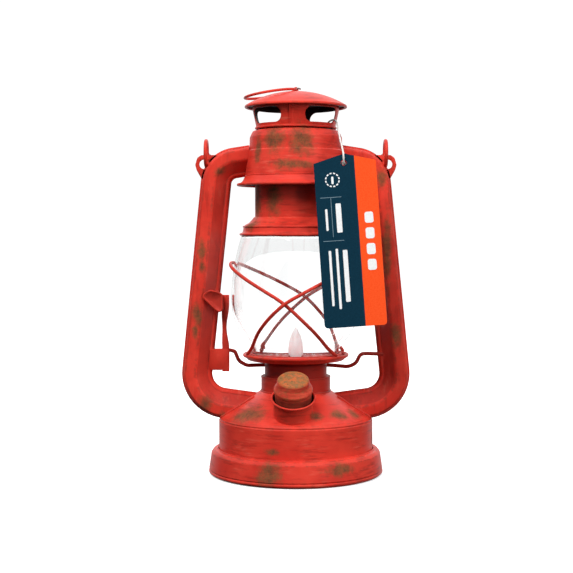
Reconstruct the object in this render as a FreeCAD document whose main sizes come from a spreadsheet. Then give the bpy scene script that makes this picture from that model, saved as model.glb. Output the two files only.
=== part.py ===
import FreeCAD, Part
import math
import os
import Sketcher

V = FreeCAD.Vector
UP = V(0, 0, 1)

# Driving dimensions: millimetres and degrees.
SIZES = {
    # sheet and wire
    "sheet": 0.6,
    "tube_sheet": 0.5,
    "glass_wall": 1.6,
    "guard_wire_radius": 1.1,
    "crossbar_radius": 1.2,
    "bail_wire_radius": 1.2,
    "ring_wire_radius": 0.85,
    # tank and base
    "foot_radius": 53.9,
    "skirt_radius": 54.9,
    "skirt_shoulder_radius": 53.2,
    "skirt_height": 16.3,
    "tank_radius": 48.5,
    "tank_wall_top": 34.2,
    "shoulder_top_radius": 22.3,
    "shoulder_top": 52.0,
    "floor_height": 5.0,
    "door_opening_radius": 39.6,
    "door_thickness": 1.4,
    # battery bay
    "cell_radius": 7.1,
    "cell_length": 49.5,
    "cell_pitch": 15.2,
    "cell_height": 15.9,
    "tray_length": 57.0,
    "tray_width": 50.0,
    "tray_bottom": 7.5,
    "tray_top": 24.5,
    "tray_wall": 1.4,
    # burner
    "collar_radius": 21.8,
    "collar_top": 61.4,
    "gallery_radius": 19.6,
    "gallery_top": 70.0,
    "stem_top": 73.0,
    "flame_radius": 4.7,
    "flame_tip": 92.5,
    # globe carrier
    "plate_radius": 33.4,
    "plate_floor": 73.4,
    "plate_floor_thickness": 0.8,
    "rim_roll_radius": 1.1,
    "globe_foot_radius": 27.0,
    "globe_radius": 40.7,
    "globe_widest": 110.0,
    "globe_mouth_radius": 34.5,
    "globe_mouth": 148.6,
    "crossbar_height": 67.4,
    # side tubes
    "tube_half_width": 8.2,
    "tube_half_depth": 7.2,
    "tube_flange": 1.6,
    "tube_bend_radius": 19.0,
    # crown
    "bell_radius": 37.1,
    "bell_rim": 181.7,
    "crown_foot_radius": 31.6,
    "crown_foot": 187.2,
    "crown_top": 215.7,
    "crown_mouth_radius": 24.3,
    # hood
    "holder_radius": 35.4,
    "holder_rim": 150.4,
    "neck_radius": 25.6,
    "neck_foot": 161.4,
    "neck_top": 197.8,
    "chimney_radius": 23.1,
    "drum_foot_radius": 24.5,
    "drum_top_radius": 27.0,
    "drum_foot": 216.2,
    "cap_radius": 32.1,
    "cap_rim": 230.9,
    "cap_top": 240.0,
    "ring_pivot": 241.0,
    "ring_radius": 16.15,
    # bail
    "bail_eye_height": 201.4,
    "bail_eye_radius": 7.8,
    "bail_reach": 50.0,
    "bail_half_width": 56.2,
    # dimmer
    "socket_radius": 12.0,
    "knob_radius": 11.7,
    "shaft_radius": 3.0,
    # tag
    "tag_width": 37.2,
    "tag_height": 98.5,
    "tag_gable": 5.1,
    "tag_thickness": 0.5,
    "tag_hole_radius": 1.75,
    "string_radius": 0.55,
}

doc = FreeCAD.newDocument("lantern")
sheet = doc.addObject("Spreadsheet::Sheet", "Dimensions")
for row, (alias, size) in enumerate(SIZES.items(), start=1):
    sheet.set(f"A{row}", str(size))
    sheet.setAlias(f"A{row}", alias)
doc.recompute()

parts = {}


class Size:
    """A number together with the sheet expression that drives it."""

    def __init__(self, value, text):
        self.value = value
        self.text = text

    def __add__(self, more):
        return Size(self.value + more, f"{self.text} + {more}")

    def __sub__(self, less):
        return Size(self.value - less, f"{self.text} - {less}")

    def __mul__(self, factor):
        return Size(self.value * factor, f"({self.text}) * {factor}")


def dim(alias):
    return Size(float(getattr(sheet, alias)), f"Dimensions.{alias}")


def value_of(size):
    return size.value if isinstance(size, Size) else float(size)


def bind(obj, **sizes):
    """Set each property, and bind it to the sheet where its size comes from there."""
    for name, size in sizes.items():
        setattr(obj, name, value_of(size))
        if isinstance(size, Size):
            obj.setExpression(name, size.text)
    return obj


def keep(node, obj):
    """Name an object as one piece of the lantern."""
    obj.Label = node
    parts[node] = obj
    return obj


# Shapes ---------------------------------------------------------------------------------------


def cylinder(name, radius, height, base=V(), direction=UP):
    obj = doc.addObject("Part::Cylinder", name)
    bind(obj, Radius=radius, Height=height)
    obj.Placement = FreeCAD.Placement(base, FreeCAD.Rotation(UP, direction))
    return obj


def block(name, low, high):
    obj = doc.addObject("Part::Box", name)
    bind(obj, Length=high[0] - low[0], Width=high[1] - low[1], Height=high[2] - low[2])
    obj.Placement.Base = V(*low)
    return obj


def torus(name, ring_radius, wire_radius, centre, direction=UP):
    obj = doc.addObject("Part::Torus", name)
    bind(obj, Radius1=ring_radius, Radius2=wire_radius)
    obj.Placement = FreeCAD.Placement(centre, FreeCAD.Rotation(UP, direction))
    return obj


def fuse(name, *pieces):
    obj = doc.addObject("Part::MultiFuse", name)
    obj.Shapes = list(pieces)
    obj.Refine = False
    return obj


def cut(name, base, *tools):
    obj = doc.addObject("Part::Cut", name)
    obj.Base = base
    obj.Tool = tools[0] if len(tools) == 1 else fuse(name + "_tools", *tools)
    obj.Refine = False
    return obj


def group(name, *pieces):
    obj = doc.addObject("Part::Compound", name)
    obj.Links = list(pieces)
    return obj


def mirror(name, source, normal):
    obj = doc.addObject("Part::Mirroring", name)
    obj.Source = source
    obj.Normal = normal
    return obj


def ring(name, outer, inner, low, height):
    """A flat or tall ring about the vertical axis."""
    rim = cylinder(name + "_rim", outer, height, V(0, 0, low))
    hole = cylinder(name + "_hole", inner, value_of(height) + 2, V(0, 0, low - 1))
    return cut(name, rim, hole)


def outline(name, start, *steps):
    """A sketch in the XZ plane of lines and arcs. Each end is bound to the sheet.

    A step is (r, z) for a line, or (r, z, middle) for an arc through the middle point.
    """
    sketch = doc.addObject("Sketcher::SketchObject", name)
    sketch.Placement = FreeCAD.Placement(V(), FreeCAD.Rotation(V(1, 0, 0), 90))
    bend(sketch, start, *steps)
    return sketch


def bend(sketch, start, *steps):
    here = start
    for step in steps:
        a = V(value_of(here[0]), value_of(here[1]), 0)
        b = V(value_of(step[0]), value_of(step[1]), 0)
        curve = Part.LineSegment(a, b) if len(step) == 2 else Part.Arc(a, V(*step[2], 0), b)
        index = sketch.addGeometry(curve, False)
        first = 1 if (sketch.getPoint(index, 1) - a).Length < 1e-6 else 2
        pin(sketch, index, first, here)
        pin(sketch, index, 3 - first, step)
        here = step


def pin(sketch, index, end, place):
    for kind, size in zip(("DistanceX", "DistanceY"), place[:2]):
        at = sketch.addConstraint(Sketcher.Constraint(kind, -1, 1, index, end, value_of(size)))
        if isinstance(size, Size):
            sketch.setExpression(f"Constraints[{at}]", size.text)


def turned(name, source, angle=360.0):
    obj = doc.addObject("Part::Revolution", name)
    obj.Source = source
    obj.Axis = UP
    obj.Angle = angle
    obj.Solid = True
    return obj


def spun(name, thickness, start, *steps):
    """Sheet metal spun to an outline of its outer face, with its thickness inside it."""
    line = outline(name + "_line", start, *steps)
    strip = doc.addObject("Part::Offset2D", name + "_strip")
    strip.Source = line
    strip.Mode = "Skin"
    strip.Join = "Intersection"
    strip.Fill = True
    bind(strip, Value=thickness)
    return turned(name + "_sheet", strip)


def lathe(name, start, *steps):
    """A solid turned from a closed outline, as a body with a sketch and a revolution."""
    body = doc.addObject("PartDesign::Body", name)
    sketch = body.newObject("Sketcher::SketchObject", name + "_outline")
    planes = {plane.Role: plane for plane in body.Origin.OriginFeatures}
    sketch.AttachmentSupport = [(planes["XZ_Plane"], "")]
    sketch.MapMode = "FlatFace"
    doc.recompute()
    bend(sketch, start, *steps, start)
    spin = body.newObject("PartDesign::Revolution", name + "_turn")
    spin.Profile = sketch
    spin.ReferenceAxis = (sketch, ["V_Axis"])
    spin.Angle = 360.0
    body.Tip = spin
    return body


def plate(name, corners, thickness, placement):
    """A flat plate of straight edges, extruded along its own normal."""
    sketch = doc.addObject("Sketcher::SketchObject", name + "_edge")
    bend(sketch, corners[0], *corners[1:], corners[0])
    sketch.Placement = placement
    obj = doc.addObject("Part::Extrusion", name + "_plate")
    obj.Base = sketch
    obj.DirMode = "Normal"
    obj.Solid = True
    bind(obj, LengthFwd=thickness)
    return obj


def rounded(points, share=0.45):
    """A wire of straight runs joined by tangent arcs, each as large as its two runs allow."""
    edges = []
    here = points[0]
    for before, corner, after in zip(points, points[1:], points[2:]):
        run_in = (corner - before).normalize()
        run_out = (after - corner).normalize()
        turn = run_in.getAngle(run_out)
        tangent = share * min((corner - before).Length, (after - corner).Length)
        start = corner - run_in * tangent
        end = corner + run_out * tangent
        radius = tangent / math.tan(turn / 2)
        inward = (run_out - run_in).normalize()
        middle = corner + inward * (radius / math.cos(turn / 2) - radius)
        edges.append(Part.LineSegment(here, start).toShape())
        edges.append(Part.Arc(start, middle, end).toShape())
        here = end
    edges.append(Part.LineSegment(here, points[-1]).toShape())
    return Part.Wire(edges)


def wire_piece(name, points, radius, share=0.45):
    """Round wire along straight runs joined by tangent arcs."""
    path = rounded(points, share)
    section = Part.Wire(Part.makeCircle(value_of(radius), points[0], points[1] - points[0]))
    obj = doc.addObject("Part::Feature", name)
    obj.Shape = path.makePipeShell([section], True, False)
    return obj


# Tank and base --------------------------------------------------------------------------------


def tank_outline(name, closed):
    """Wall, rounded crease and conical shoulder. Closed, it is the solid that trims other pieces."""
    steps = [
        (dim("tank_radius"), dim("tank_wall_top")),
        (dim("tank_radius") - 1.3, dim("tank_wall_top") + 2.3, (48.16, 35.6)),
        (dim("shoulder_top_radius"), dim("shoulder_top")),
    ]
    start = (dim("tank_radius"), dim("floor_height") - 1.0)
    if not closed:
        return spun(name, dim("sheet"), start, *steps)
    return lathe(name, start, *steps, (0, dim("shoulder_top")), (0, dim("floor_height") - 1.0))


def make_tank():
    shell = tank_outline("tank", closed=False)
    hole = cylinder("dimmer_hole", 4.4, 12, dimmer_point(-6), DIMMER_AXIS)
    keep("tank", cut("tank_cut", shell, hole))
    keep(
        "base_skirt",
        spun(
            "base_skirt",
            dim("sheet"),
            (dim("foot_radius") - 2.9, 0),
            (dim("foot_radius"), 0),
            (dim("skirt_radius"), 2.0, (54.75, 0.75)),
            (dim("skirt_shoulder_radius"), dim("skirt_height") - 2.7),
            (dim("skirt_shoulder_radius") - 1.6, dim("skirt_height") - 0.7, (52.8, 15.1)),
            (dim("tank_radius") + 0.35, dim("skirt_height")),
        ),
    )


DOOR_LUG_ANGLE = 45
DOOR_TWIST = 30


def make_floor():
    low = value_of(dim("floor_height"))
    floor = ring("floor_ring", dim("tank_radius") - 0.65, dim("door_opening_radius"), low, 0.8)
    notches = []
    for index, angle in enumerate((DOOR_LUG_ANGLE + DOOR_TWIST, DOOR_LUG_ANGLE + DOOR_TWIST + 180)):
        notch = block(f"door_notch_{index}", (37.0, -4.2, low - 1), (42.2, 4.2, low + 2))
        notches.append(swing(notch, angle))
    keep("tank_floor", cut("floor_cut", floor, *notches))


def swing(obj, angle):
    """Turn an object about the vertical axis."""
    obj.Placement = FreeCAD.Placement(V(), FreeCAD.Rotation(UP, angle)).multiply(obj.Placement)
    return obj


def make_door():
    low = value_of(dim("floor_height")) - 0.9
    disc = cylinder("door_disc", dim("door_opening_radius") - 0.4, dim("door_thickness"), V(0, 0, low))
    grip = block("door_grip", (-13, -1.6, low - 1.9), (13, 1.6, low))
    lugs = []
    for index, angle in enumerate((DOOR_LUG_ANGLE, DOOR_LUG_ANGLE + 180)):
        neck = block(f"lug_neck_{index}", (35.0, -3.0, low + 1.2), (38.8, 3.0, low + 3.0))
        lug = block(f"lug_{index}", (37.0, -3.0, low + 2.0), (41.4, 3.0, low + 3.0))
        lugs += [swing(neck, angle), swing(lug, angle)]
    keep("battery_door", fuse("door", disc, grip, *lugs))


BOARD_POSTS = (-12.0, 12.0)
BOARD_GAP = 1.5


def make_tray():
    half_x = value_of(dim("tray_length")) / 2
    half_y = value_of(dim("tray_width")) / 2
    low = value_of(dim("tray_bottom"))
    top = value_of(dim("tray_top"))
    wall = value_of(dim("tray_wall"))
    outer = block("tray_outer", (-half_x, -half_y, low), (half_x, half_y, top))
    inner = block(
        "tray_inner",
        (-half_x + wall, -half_y + wall, low - 1),
        (half_x - wall, half_y - wall, top - wall),
    )
    feet = []
    for side in (-1, 1):
        ends = sorted((side * (half_x - 1), side * 45.0))
        foot = block(f"tray_foot_{side + 1}", (ends[0], -6, 5.8), (ends[1], 6, low + 1.4))
        feet.append(foot)
    posts = []
    pilots = []
    for index, x in enumerate(BOARD_POSTS):
        posts.append(cylinder(f"board_post_{index}", 2.2, BOARD_GAP + wall, V(x, 0, top - wall)))
        pilots.append(cylinder(f"pilot_{index}", 0.95, 9, V(x, 0, top - wall)))
    body = fuse("tray_body", outer, *feet, *posts)
    keep("battery_tray", cut("tray_cut", body, inner, *pilots))


STRIP_HALF = 4.5


def make_cells():
    """Three cells lie side by side, each turned end for end from the last."""
    cells = []
    springs = []
    strips = []
    length = value_of(dim("cell_length"))
    pitch = value_of(dim("cell_pitch"))
    high = value_of(dim("cell_height"))
    for index, way in enumerate((1, -1, 1)):
        across = (index - 1) * pitch
        flat_end = V(-24.4 * way, across, high)
        nub_end = flat_end + V(way * length, 0, 0)
        can = cylinder(f"can_{index}", dim("cell_radius"), dim("cell_length"), flat_end, V(way, 0, 0))
        nub = cylinder(f"nub_{index}", 2.7, 1.3, nub_end, V(way, 0, 0))
        cells.append(fuse(f"cell_{index}", can, nub))
        spring = doc.addObject("Part::Cone", f"spring_{index}")
        bind(spring, Radius1=4.6, Radius2=2.8, Height=2.4)
        end_on = FreeCAD.Rotation(UP, V(way, 0, 0))
        spring.Placement = FreeCAD.Placement(V(-26.9 * way, across, high), end_on)
        springs.append(spring)
        near = nub_end.x + way * 1.3
        ends = sorted((near, near + way * 0.4))
        low_corner = (ends[0], across - STRIP_HALF, high - STRIP_HALF)
        strips.append(block(f"strip_{index}", low_corner, (ends[1], across + STRIP_HALF, high + STRIP_HALF)))
    keep("battery_cells", group("cells", *cells))
    keep("contact_springs", group("springs", *springs))
    keep("contact_strips", group("strips", *strips))


def make_board():
    low = value_of(dim("tray_top")) + BOARD_GAP
    board = block("board_blank", (-16, -11, low), (16, 11, low + 1.6))
    holes = [cylinder(f"board_hole_{i}", 1.1, 4, V(x, 0, low - 1)) for i, x in enumerate(BOARD_POSTS)]
    keep("driver_board", cut("board_cut", board, *holes))
    chip = block("chip", (-3, 2.5, low + 1.6), (3, 8.5, low + 3.0))
    can = cylinder("capacitor", 2.6, 6.0, V(6.5, -6.5, low + 1.6))
    keep("board_components", group("components", chip, can))
    screws = []
    for index, x in enumerate(BOARD_POSTS):
        head = cylinder(f"screw_head_{index}", 2.0, 1.3, V(x, 0, low + 1.6))
        shank = cylinder(f"screw_shank_{index}", 0.9, 4.1, V(x, 0, low - 2.5))
        screws.append(fuse(f"screw_{index}", head, shank))
    keep("board_screws", group("screws", *screws))
    board_top = low + 1.6
    lead_length = value_of(dim("stem_top")) - board_top
    leads = [cylinder(f"lead_{side + 1}", 0.5, lead_length, V(side * 1.1, 0, board_top)) for side in (-1, 1)]
    keep("led_leads", group("leads", *leads))


# Burner ---------------------------------------------------------------------------------------

CROSSBAR_BACK = 8.0
DECK_LOW = 59.0


def make_burner():
    top = dim("collar_top")
    keep(
        "burner_collar",
        spun(
            "burner_collar",
            dim("sheet"),
            (dim("collar_radius"), dim("shoulder_top") - 1.8),
            (dim("collar_radius"), top - 0.9),
            (dim("collar_radius") - 0.9, top, (21.54, 61.14)),
            (dim("gallery_radius") - 1.4, top),
        ),
    )
    wall = spun(
        "burner_gallery",
        dim("sheet"),
        (dim("gallery_radius"), top),
        (dim("gallery_radius"), dim("gallery_top") - 1.2),
        (dim("gallery_radius") - 0.5, dim("gallery_top")),
    )
    slot_low = value_of(dim("crossbar_height")) - 1.6
    slot = block("crossbar_slot", (-26, CROSSBAR_BACK - 1.6, slot_low), (26, CROSSBAR_BACK + 1.6, 72))
    keep("burner_gallery", cut("gallery_cut", wall, slot))
    keep("burner_deck", ring("deck", dim("collar_radius") - 0.65, 2.3, DECK_LOW, 0.8))
    keep("flame_stem", ring("stem", 3.2, 2.2, DECK_LOW + 0.8, value_of(dim("stem_top")) - DECK_LOW - 0.8))
    low = value_of(dim("stem_top"))
    bulb = cylinder("led_base", 2.4, 3.4, V(0, 0, low))
    dome = doc.addObject("Part::Sphere", "led_dome")
    bind(dome, Radius=2.4)
    dome.Placement.Base = V(0, 0, low + 3.4)
    keep("led_emitter", fuse("led", bulb, dome))
    keep(
        "flame_diffuser",
        lathe(
            "flame",
            (2.7, dim("stem_top")),
            (3.7, dim("stem_top")),
            (3.2, 86.0, (value_of(dim("flame_radius")), 79.0)),
            (1.6, 90.0),
            (0, dim("flame_tip")),
            (0, 81.0),
            (2.7, 79.5),
        ),
    )


# Globe carrier --------------------------------------------------------------------------------


def make_globe_plate():
    floor_low = dim("plate_floor")
    sketch = doc.addObject("Sketcher::SketchObject", "plate_holes")
    outer = value_of(dim("plate_radius")) - 1.2
    for radius in (outer, 5.4):
        sketch.addGeometry(Part.Circle(V(), UP, radius), False)
    for ring_radius, count in ((10.0, 10), (19.5, 20), (23.7, 24)):
        for index in range(count):
            angle = 2 * math.pi * index / count
            centre = V(ring_radius * math.cos(angle), ring_radius * math.sin(angle), 0)
            sketch.addGeometry(Part.Circle(centre, UP, 1.4), False)
    sketch.Placement.Base = V(0, 0, value_of(floor_low))
    floor = doc.addObject("Part::Extrusion", "plate_disc")
    floor.Base = sketch
    floor.Dir = UP
    floor.DirMode = "Custom"
    floor.Solid = True
    bind(floor, LengthFwd=dim("plate_floor_thickness"))
    roll = torus(
        "plate_roll",
        dim("plate_radius") - 1.1,
        dim("rim_roll_radius"),
        V(0, 0, value_of(floor_low) + 1.0),
    )
    bead = ring("plate_bead", 28.2, 27.4, value_of(floor_low) + 0.4, 2.2)
    boss_low = value_of(dim("crossbar_height")) + 1.2
    boss = ring("plate_boss", 16.0, 15.3, boss_low, value_of(floor_low) + 0.2 - boss_low)
    pan = spun(
        "plate_pan",
        dim("sheet"),
        (21.0, floor_low - 2.7),
        (dim("plate_radius") - 3.4, floor_low - 2.5),
        (dim("plate_radius") - 0.9, floor_low + 0.2),
    )
    keep("globe_plate", fuse("plate", floor, roll, bead, boss, pan))


def globe_arc_radius(end):
    """The radius of an arc that is upright at the widest level and ends at the radius and height given."""
    rise = value_of(dim("globe_widest")) - end[1]
    inset = value_of(dim("globe_radius")) - end[0]
    return (inset**2 + rise**2) / (2 * inset)


def globe_outer(height):
    """The radius of the glass's outer face at a height."""
    widest = value_of(dim("globe_widest"))
    below = (value_of(dim("globe_foot_radius")), 79.0)
    above = (value_of(dim("globe_mouth_radius")), value_of(dim("globe_mouth")))
    arc = globe_arc_radius(below if height < widest else above)
    away = min(abs(height - widest), arc)
    return max(value_of(dim("globe_radius")) - arc + math.sqrt(arc**2 - away**2), below[0])


def make_globe():
    keep(
        "globe",
        spun(
            "globe",
            dim("glass_wall"),
            (dim("globe_foot_radius"), 74.3),
            (dim("globe_foot_radius"), 79.0),
            (dim("globe_radius"), dim("globe_widest"), (globe_outer(92), 92)),
            (dim("globe_mouth_radius"), dim("globe_mouth"), (globe_outer(131), 131)),
        ),
    )


GUARD_TURN = -9.0
GUARD_SPAN = 149.0
GUARD_TOP = 132.8
GUARD_CROSS = 109.5
GUARD_FOOT = 76.4
GUARD_STEPS = 20


def guard_height(away):
    """Height at an angle from the wire's middle: a crest as far as the crossing, then down to the foot."""
    if away <= 90:
        return GUARD_TOP + (GUARD_CROSS - GUARD_TOP) * (away / 90) ** 1.75
    left = (GUARD_SPAN - away) / (GUARD_SPAN - 90)
    return GUARD_FOOT + (GUARD_CROSS - GUARD_FOOT) * left**1.35


def guard_points(side):
    """Up from a front foot, round one side of the globe, and down to the back foot."""
    points = []
    for step in range(GUARD_STEPS + 1):
        away = GUARD_SPAN * (2 * step / GUARD_STEPS - 1)
        height = guard_height(abs(away))
        radius = max(globe_outer(height) + 2.3, value_of(dim("plate_radius")) - 1.0)
        azimuth = math.radians(GUARD_TURN + side * 90 + away)
        points.append(V(radius * math.sin(azimuth), -radius * math.cos(azimuth), height))
    return points


GUARD_CROSSING = 2.7


def make_guards():
    for side, name in ((-1, "guard_wire_left"), (1, "guard_wire_right")):
        points = guard_points(side)
        if side > 0:
            points = [point + outward(point) * GUARD_CROSSING for point in points]
        keep(name, wire_piece(name, points, dim("guard_wire_radius")))


def outward(point):
    """Away from the axis, where the second guard wire crosses over the first."""
    flat = V(point.x, point.y, 0)
    away = abs(math.degrees(math.atan2(point.x, -point.y)) - GUARD_TURN)
    near_front = math.exp(-((away / 22) ** 2))
    near_back = math.exp(-(((180 - away) / 22) ** 2))
    return flat.normalize() * (near_front + near_back)


def crossbar_points():
    high = value_of(dim("crossbar_height"))
    return [
        V(-41.5, 0, 77.6),
        V(-38.4, 0.2, 76.8),
        V(-36.0, 0.9, 70.6),
        V(-31.0, 2.6, high + 0.2),
        V(-20.5, CROSSBAR_BACK, high),
        V(20.5, CROSSBAR_BACK, high),
        V(33.5, 1.2, high - 0.4),
        V(38.0, 0.3, 69.4),
        V(41.0, 0, 75.4),
        V(46.0, 0, 75.5),
        V(55.0, 0, 75.2),
    ]


def make_crossbar():
    keep("globe_crossbar", wire_piece("crossbar", crossbar_points(), dim("crossbar_radius"), share=0.4))


THUMB_LOW = 103.5
THUMB_TOP = 113.0
THUMB_RADIUS = 7.1


def make_lift_strap():
    """A flat strap with a clip that runs on the tube's inner flange, and a thumb tab."""
    strap = block("strap", (-46.4, -2.2, 64.0), (-41.8, -1.4, 113.0))
    front_jaw = block("front_jaw", (-54.0, -2.2, 65.0), (-46.4, -1.4, 78.5))
    back_jaw = block("back_jaw", (-54.0, 1.4, 65.0), (-41.8, 2.2, 78.5))
    side = block("clip_side", (-42.6, -1.4, 65.0), (-41.8, 1.4, 79.5))
    web = block("thumb_web", (-46.4, -9.2, THUMB_LOW), (-45.6, -1.4, THUMB_TOP))
    moon = cylinder("thumb_moon", THUMB_RADIUS, 0.8, V(-51.6, -8.4, 108.3), V(0, -1, 0))
    flat = block("thumb_flat", (-52.0, -9.2, THUMB_LOW), (-45.6, -8.4, THUMB_TOP))
    beyond = block("thumb_beyond", (-45.6, -10.0, 95.0), (-40.0, -8.0, 118.0))
    tab = cut("thumb_tab", fuse("thumb_blank", moon, flat), beyond)
    keep("lift_strap", fuse("lift_strap_piece", strap, front_jaw, back_jaw, side, web, tab))


# Side tubes -----------------------------------------------------------------------------------

ARM_INNER = (-24.0, 197.5)
TUBE_CORNER = (-48.8, 193.6)
TUBE_FOOT_CORNER = (-63.9, 46.8)
ARM_END = (-24.5, 41.3)


def tube_path():
    """The seam plane's centre line of the left tube: top arm, slanted side, lower arm."""
    sketch = doc.addObject("Sketcher::SketchObject", "tube_path")
    sketch.Placement = FreeCAD.Placement(V(), FreeCAD.Rotation(V(1, 0, 0), 90))
    radius = value_of(dim("tube_bend_radius"))
    places = [V(*point, 0) for point in (ARM_INNER, TUBE_CORNER, TUBE_FOOT_CORNER, ARM_END)]
    here = places[0]
    for before, corner, after in zip(places, places[1:], places[2:]):
        run_in = (corner - before).normalize()
        run_out = (after - corner).normalize()
        turn = run_in.getAngle(run_out)
        start = corner - run_in * (radius * math.tan(turn / 2))
        end = corner + run_out * (radius * math.tan(turn / 2))
        inward = (run_out - run_in).normalize()
        middle = corner + inward * (radius / math.cos(turn / 2) - radius)
        sketch.addGeometry(Part.LineSegment(here, start), False)
        sketch.addGeometry(Part.Arc(start, middle, end), False)
        here = end
    sketch.addGeometry(Part.LineSegment(here, places[-1]), False)
    return sketch


def tube_section(name, corners):
    """A closed section across the top arm: the first axis points outwards, the second to the back."""
    sketch = doc.addObject("Sketcher::SketchObject", name)
    count = len(corners)
    for index in range(count):
        a = V(*corners[index], 0)
        b = V(*corners[(index + 1) % count], 0)
        sketch.addGeometry(Part.LineSegment(a, b), False)
    along = (V(TUBE_CORNER[0], 0, TUBE_CORNER[1]) - V(ARM_INNER[0], 0, ARM_INNER[1])).normalize()
    across = V(0, 1, 0)
    out = across.cross(along)
    sketch.Placement = FreeCAD.Placement(FreeCAD.Matrix(
        out.x, across.x, along.x, ARM_INNER[0],
        out.y, across.y, along.y, 0,
        out.z, across.z, along.z, ARM_INNER[1],
        0, 0, 0, 1,
    ))
    return sketch


def front_half_corners():
    wide = value_of(dim("tube_half_width"))
    deep = value_of(dim("tube_half_depth"))
    flange = value_of(dim("tube_flange"))
    gauge = value_of(dim("tube_sheet"))
    return [
        (wide + flange, 0),
        (wide + flange, -gauge),
        (wide + 0.1, -gauge),
        (wide, -deep + 1.6),
        (wide - 1.2, -deep),
        (0.8, -deep),
        (2.0 - wide, -gauge),
        (-wide - flange + 0.4, -gauge),
        (-wide - flange + 0.4, 0),
        (2.2 - wide, 0),
        (1.0, -deep + gauge),
        (wide - 1.4, -deep + gauge),
        (wide - gauge, -deep + 1.8),
        (wide - gauge + 0.1, 0),
    ]


def core_corners():
    """The tube's outside, filled: used to trim the ears."""
    near = front_half_corners()[:9]
    far = [(across, -deep) for across, deep in reversed(near[1:-1])]
    return near + far


def swept(name, path, section):
    obj = doc.addObject("Part::Sweep", name)
    obj.Sections = [section]
    obj.Spine = (path, ["Edge1", "Edge2", "Edge3", "Edge4", "Edge5"])
    obj.Solid = True
    obj.Frenet = False
    obj.Transition = "Right corner"
    return obj


def crown_envelope():
    """The crown and the space inside the bell as one filled solid, to trim the upper arms."""
    return lathe(
        "crown_envelope",
        (dim("crown_foot_radius"), dim("crown_foot")),
        (dim("crown_foot_radius"), dim("crown_foot") + 1.3),
        (dim("crown_foot_radius") - 1.8, dim("crown_foot") + 16.0),
        (dim("crown_foot_radius") - 2.7, dim("crown_foot") + 24.2),
        (0, dim("crown_foot") + 24.2),
        (0, dim("crown_foot") - 8.0),
        (dim("crown_foot_radius"), dim("crown_foot") - 8.0),
    )


def make_tubes():
    path = tube_path()
    shell = swept("tube_sweep", path, tube_section("tube_half_section", front_half_corners()))
    core = swept("tube_core", path, tube_section("tube_core_section", core_corners()))
    tank = tank_outline("tank_envelope", closed=True)
    collar = cylinder("collar_envelope", dim("collar_radius") + 0.1, 30, V(0, 0, 45))
    hole = ear_hole("tube_ear_hole")
    left_front = cut("left_front_cut", shell, crown_envelope(), tank, collar, hole)
    left_rear = mirror("left_rear_mirror", left_front, V(0, 1, 0))
    slot = block("lift_slot", (48.0, -1.7, 73.4), (57.5, 1.7, 84.4))
    keep("left_tube_front", left_front)
    keep("left_tube_rear", left_rear)
    for half, left_half in (("front", left_front), ("rear", left_rear)):
        right_half = mirror(f"right_{half}_mirror", left_half, V(1, 0, 0))
        keep(f"right_tube_{half}", cut(f"right_{half}_cut", right_half, slot))
    make_ears(core)


EAR_HOLE = (-57.6, 194.6)
EAR_HOLE_RADIUS = 2.9


def ear_hole(name):
    return cylinder(name, EAR_HOLE_RADIUS, 12, V(EAR_HOLE[0], -6, EAR_HOLE[1]), V(0, 1, 0))


def make_ears(core):
    corners = [
        (-47.0, 200.4),
        (-59.4, 200.4),
        (-61.9, 198.6),
        (-63.2, 194.2),
        (-62.2, 190.8),
        (-58.6, 184.4),
        (-50.0, 186.0),
        (-47.0, 192.0),
    ]
    upright = FreeCAD.Placement(V(0, 0.5, 0), FreeCAD.Rotation(V(1, 0, 0), 90))
    blank = plate("ear", corners, 1.0, upright)
    left = cut("ear_cut", blank, core, ear_hole("ear_hole"))
    keep("left_ear", left)
    keep("right_ear", mirror("right_ear_mirror", left, V(1, 0, 0)))


# Crown ----------------------------------------------------------------------------------------


def make_crown():
    foot = dim("crown_foot")
    wide = dim("crown_foot_radius")
    keep(
        "crown",
        spun(
            "crown",
            dim("sheet"),
            (wide, foot),
            (wide, foot + 1.3),
            (wide - 1.8, foot + 16.0),
            (wide - 2.2, foot + 16.4),
            (wide - 2.7, foot + 24.2),
            (wide - 5.6, dim("crown_top") - 0.2, (28.0, 214.4)),
            (dim("crown_mouth_radius"), dim("crown_top")),
        ),
    )
    skirt = spun(
        "bell",
        dim("sheet"),
        (dim("bell_radius") - 0.8, dim("bell_rim") + 0.4),
        (wide, foot - 0.6, (33.1, 184.0)),
        (wide, foot),
    )
    roll = torus("bell_roll", dim("bell_radius") - 0.9, 0.9, V(0, 0, value_of(dim("bell_rim"))))
    keep("bell_flange", fuse("bell_piece", skirt, roll))
    keep("hood_guide", ring("guide", wide - 0.62, dim("neck_radius") + 0.5, value_of(foot) + 0.4, 0.6))


# Hood -----------------------------------------------------------------------------------------


def make_globe_holder():
    rim = dim("holder_rim")
    cone = spun(
        "holder",
        dim("sheet"),
        (dim("holder_radius") - 0.5, rim + 0.7),
        (dim("holder_radius") - 2.2, rim + 2.2, (34.0, 151.8)),
        (dim("holder_radius") - 2.4, rim + 5.2),
        (dim("holder_radius") - 3.4, rim + 6.4),
        (dim("neck_radius") + 0.5, dim("neck_foot")),
    )
    roll = torus("holder_roll", dim("holder_radius") - 0.7, 0.7, V(0, 0, value_of(rim) + 0.2))
    keep("globe_holder", fuse("holder_piece", cone, roll))


def make_chimney():
    neck = dim("neck_radius")
    top = dim("neck_top")
    keep(
        "neck_tube",
        spun(
            "neck",
            dim("sheet"),
            (neck, dim("neck_foot") - 1.2),
            (neck, top - 1.2),
            (neck - 1.2, top, (25.25, 197.45)),
            (dim("chimney_radius") + 0.05, top),
        ),
    )
    keep(
        "chimney_tube",
        ring("chimney", dim("chimney_radius"), dim("chimney_radius") - 0.6, value_of(top) - 1.5, 20.5),
    )


SLOT_TURN = -4.0
SLOT_POST = 33.0
SLOT_LOW = 3.2
SLOT_HIGH = 12.6


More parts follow.
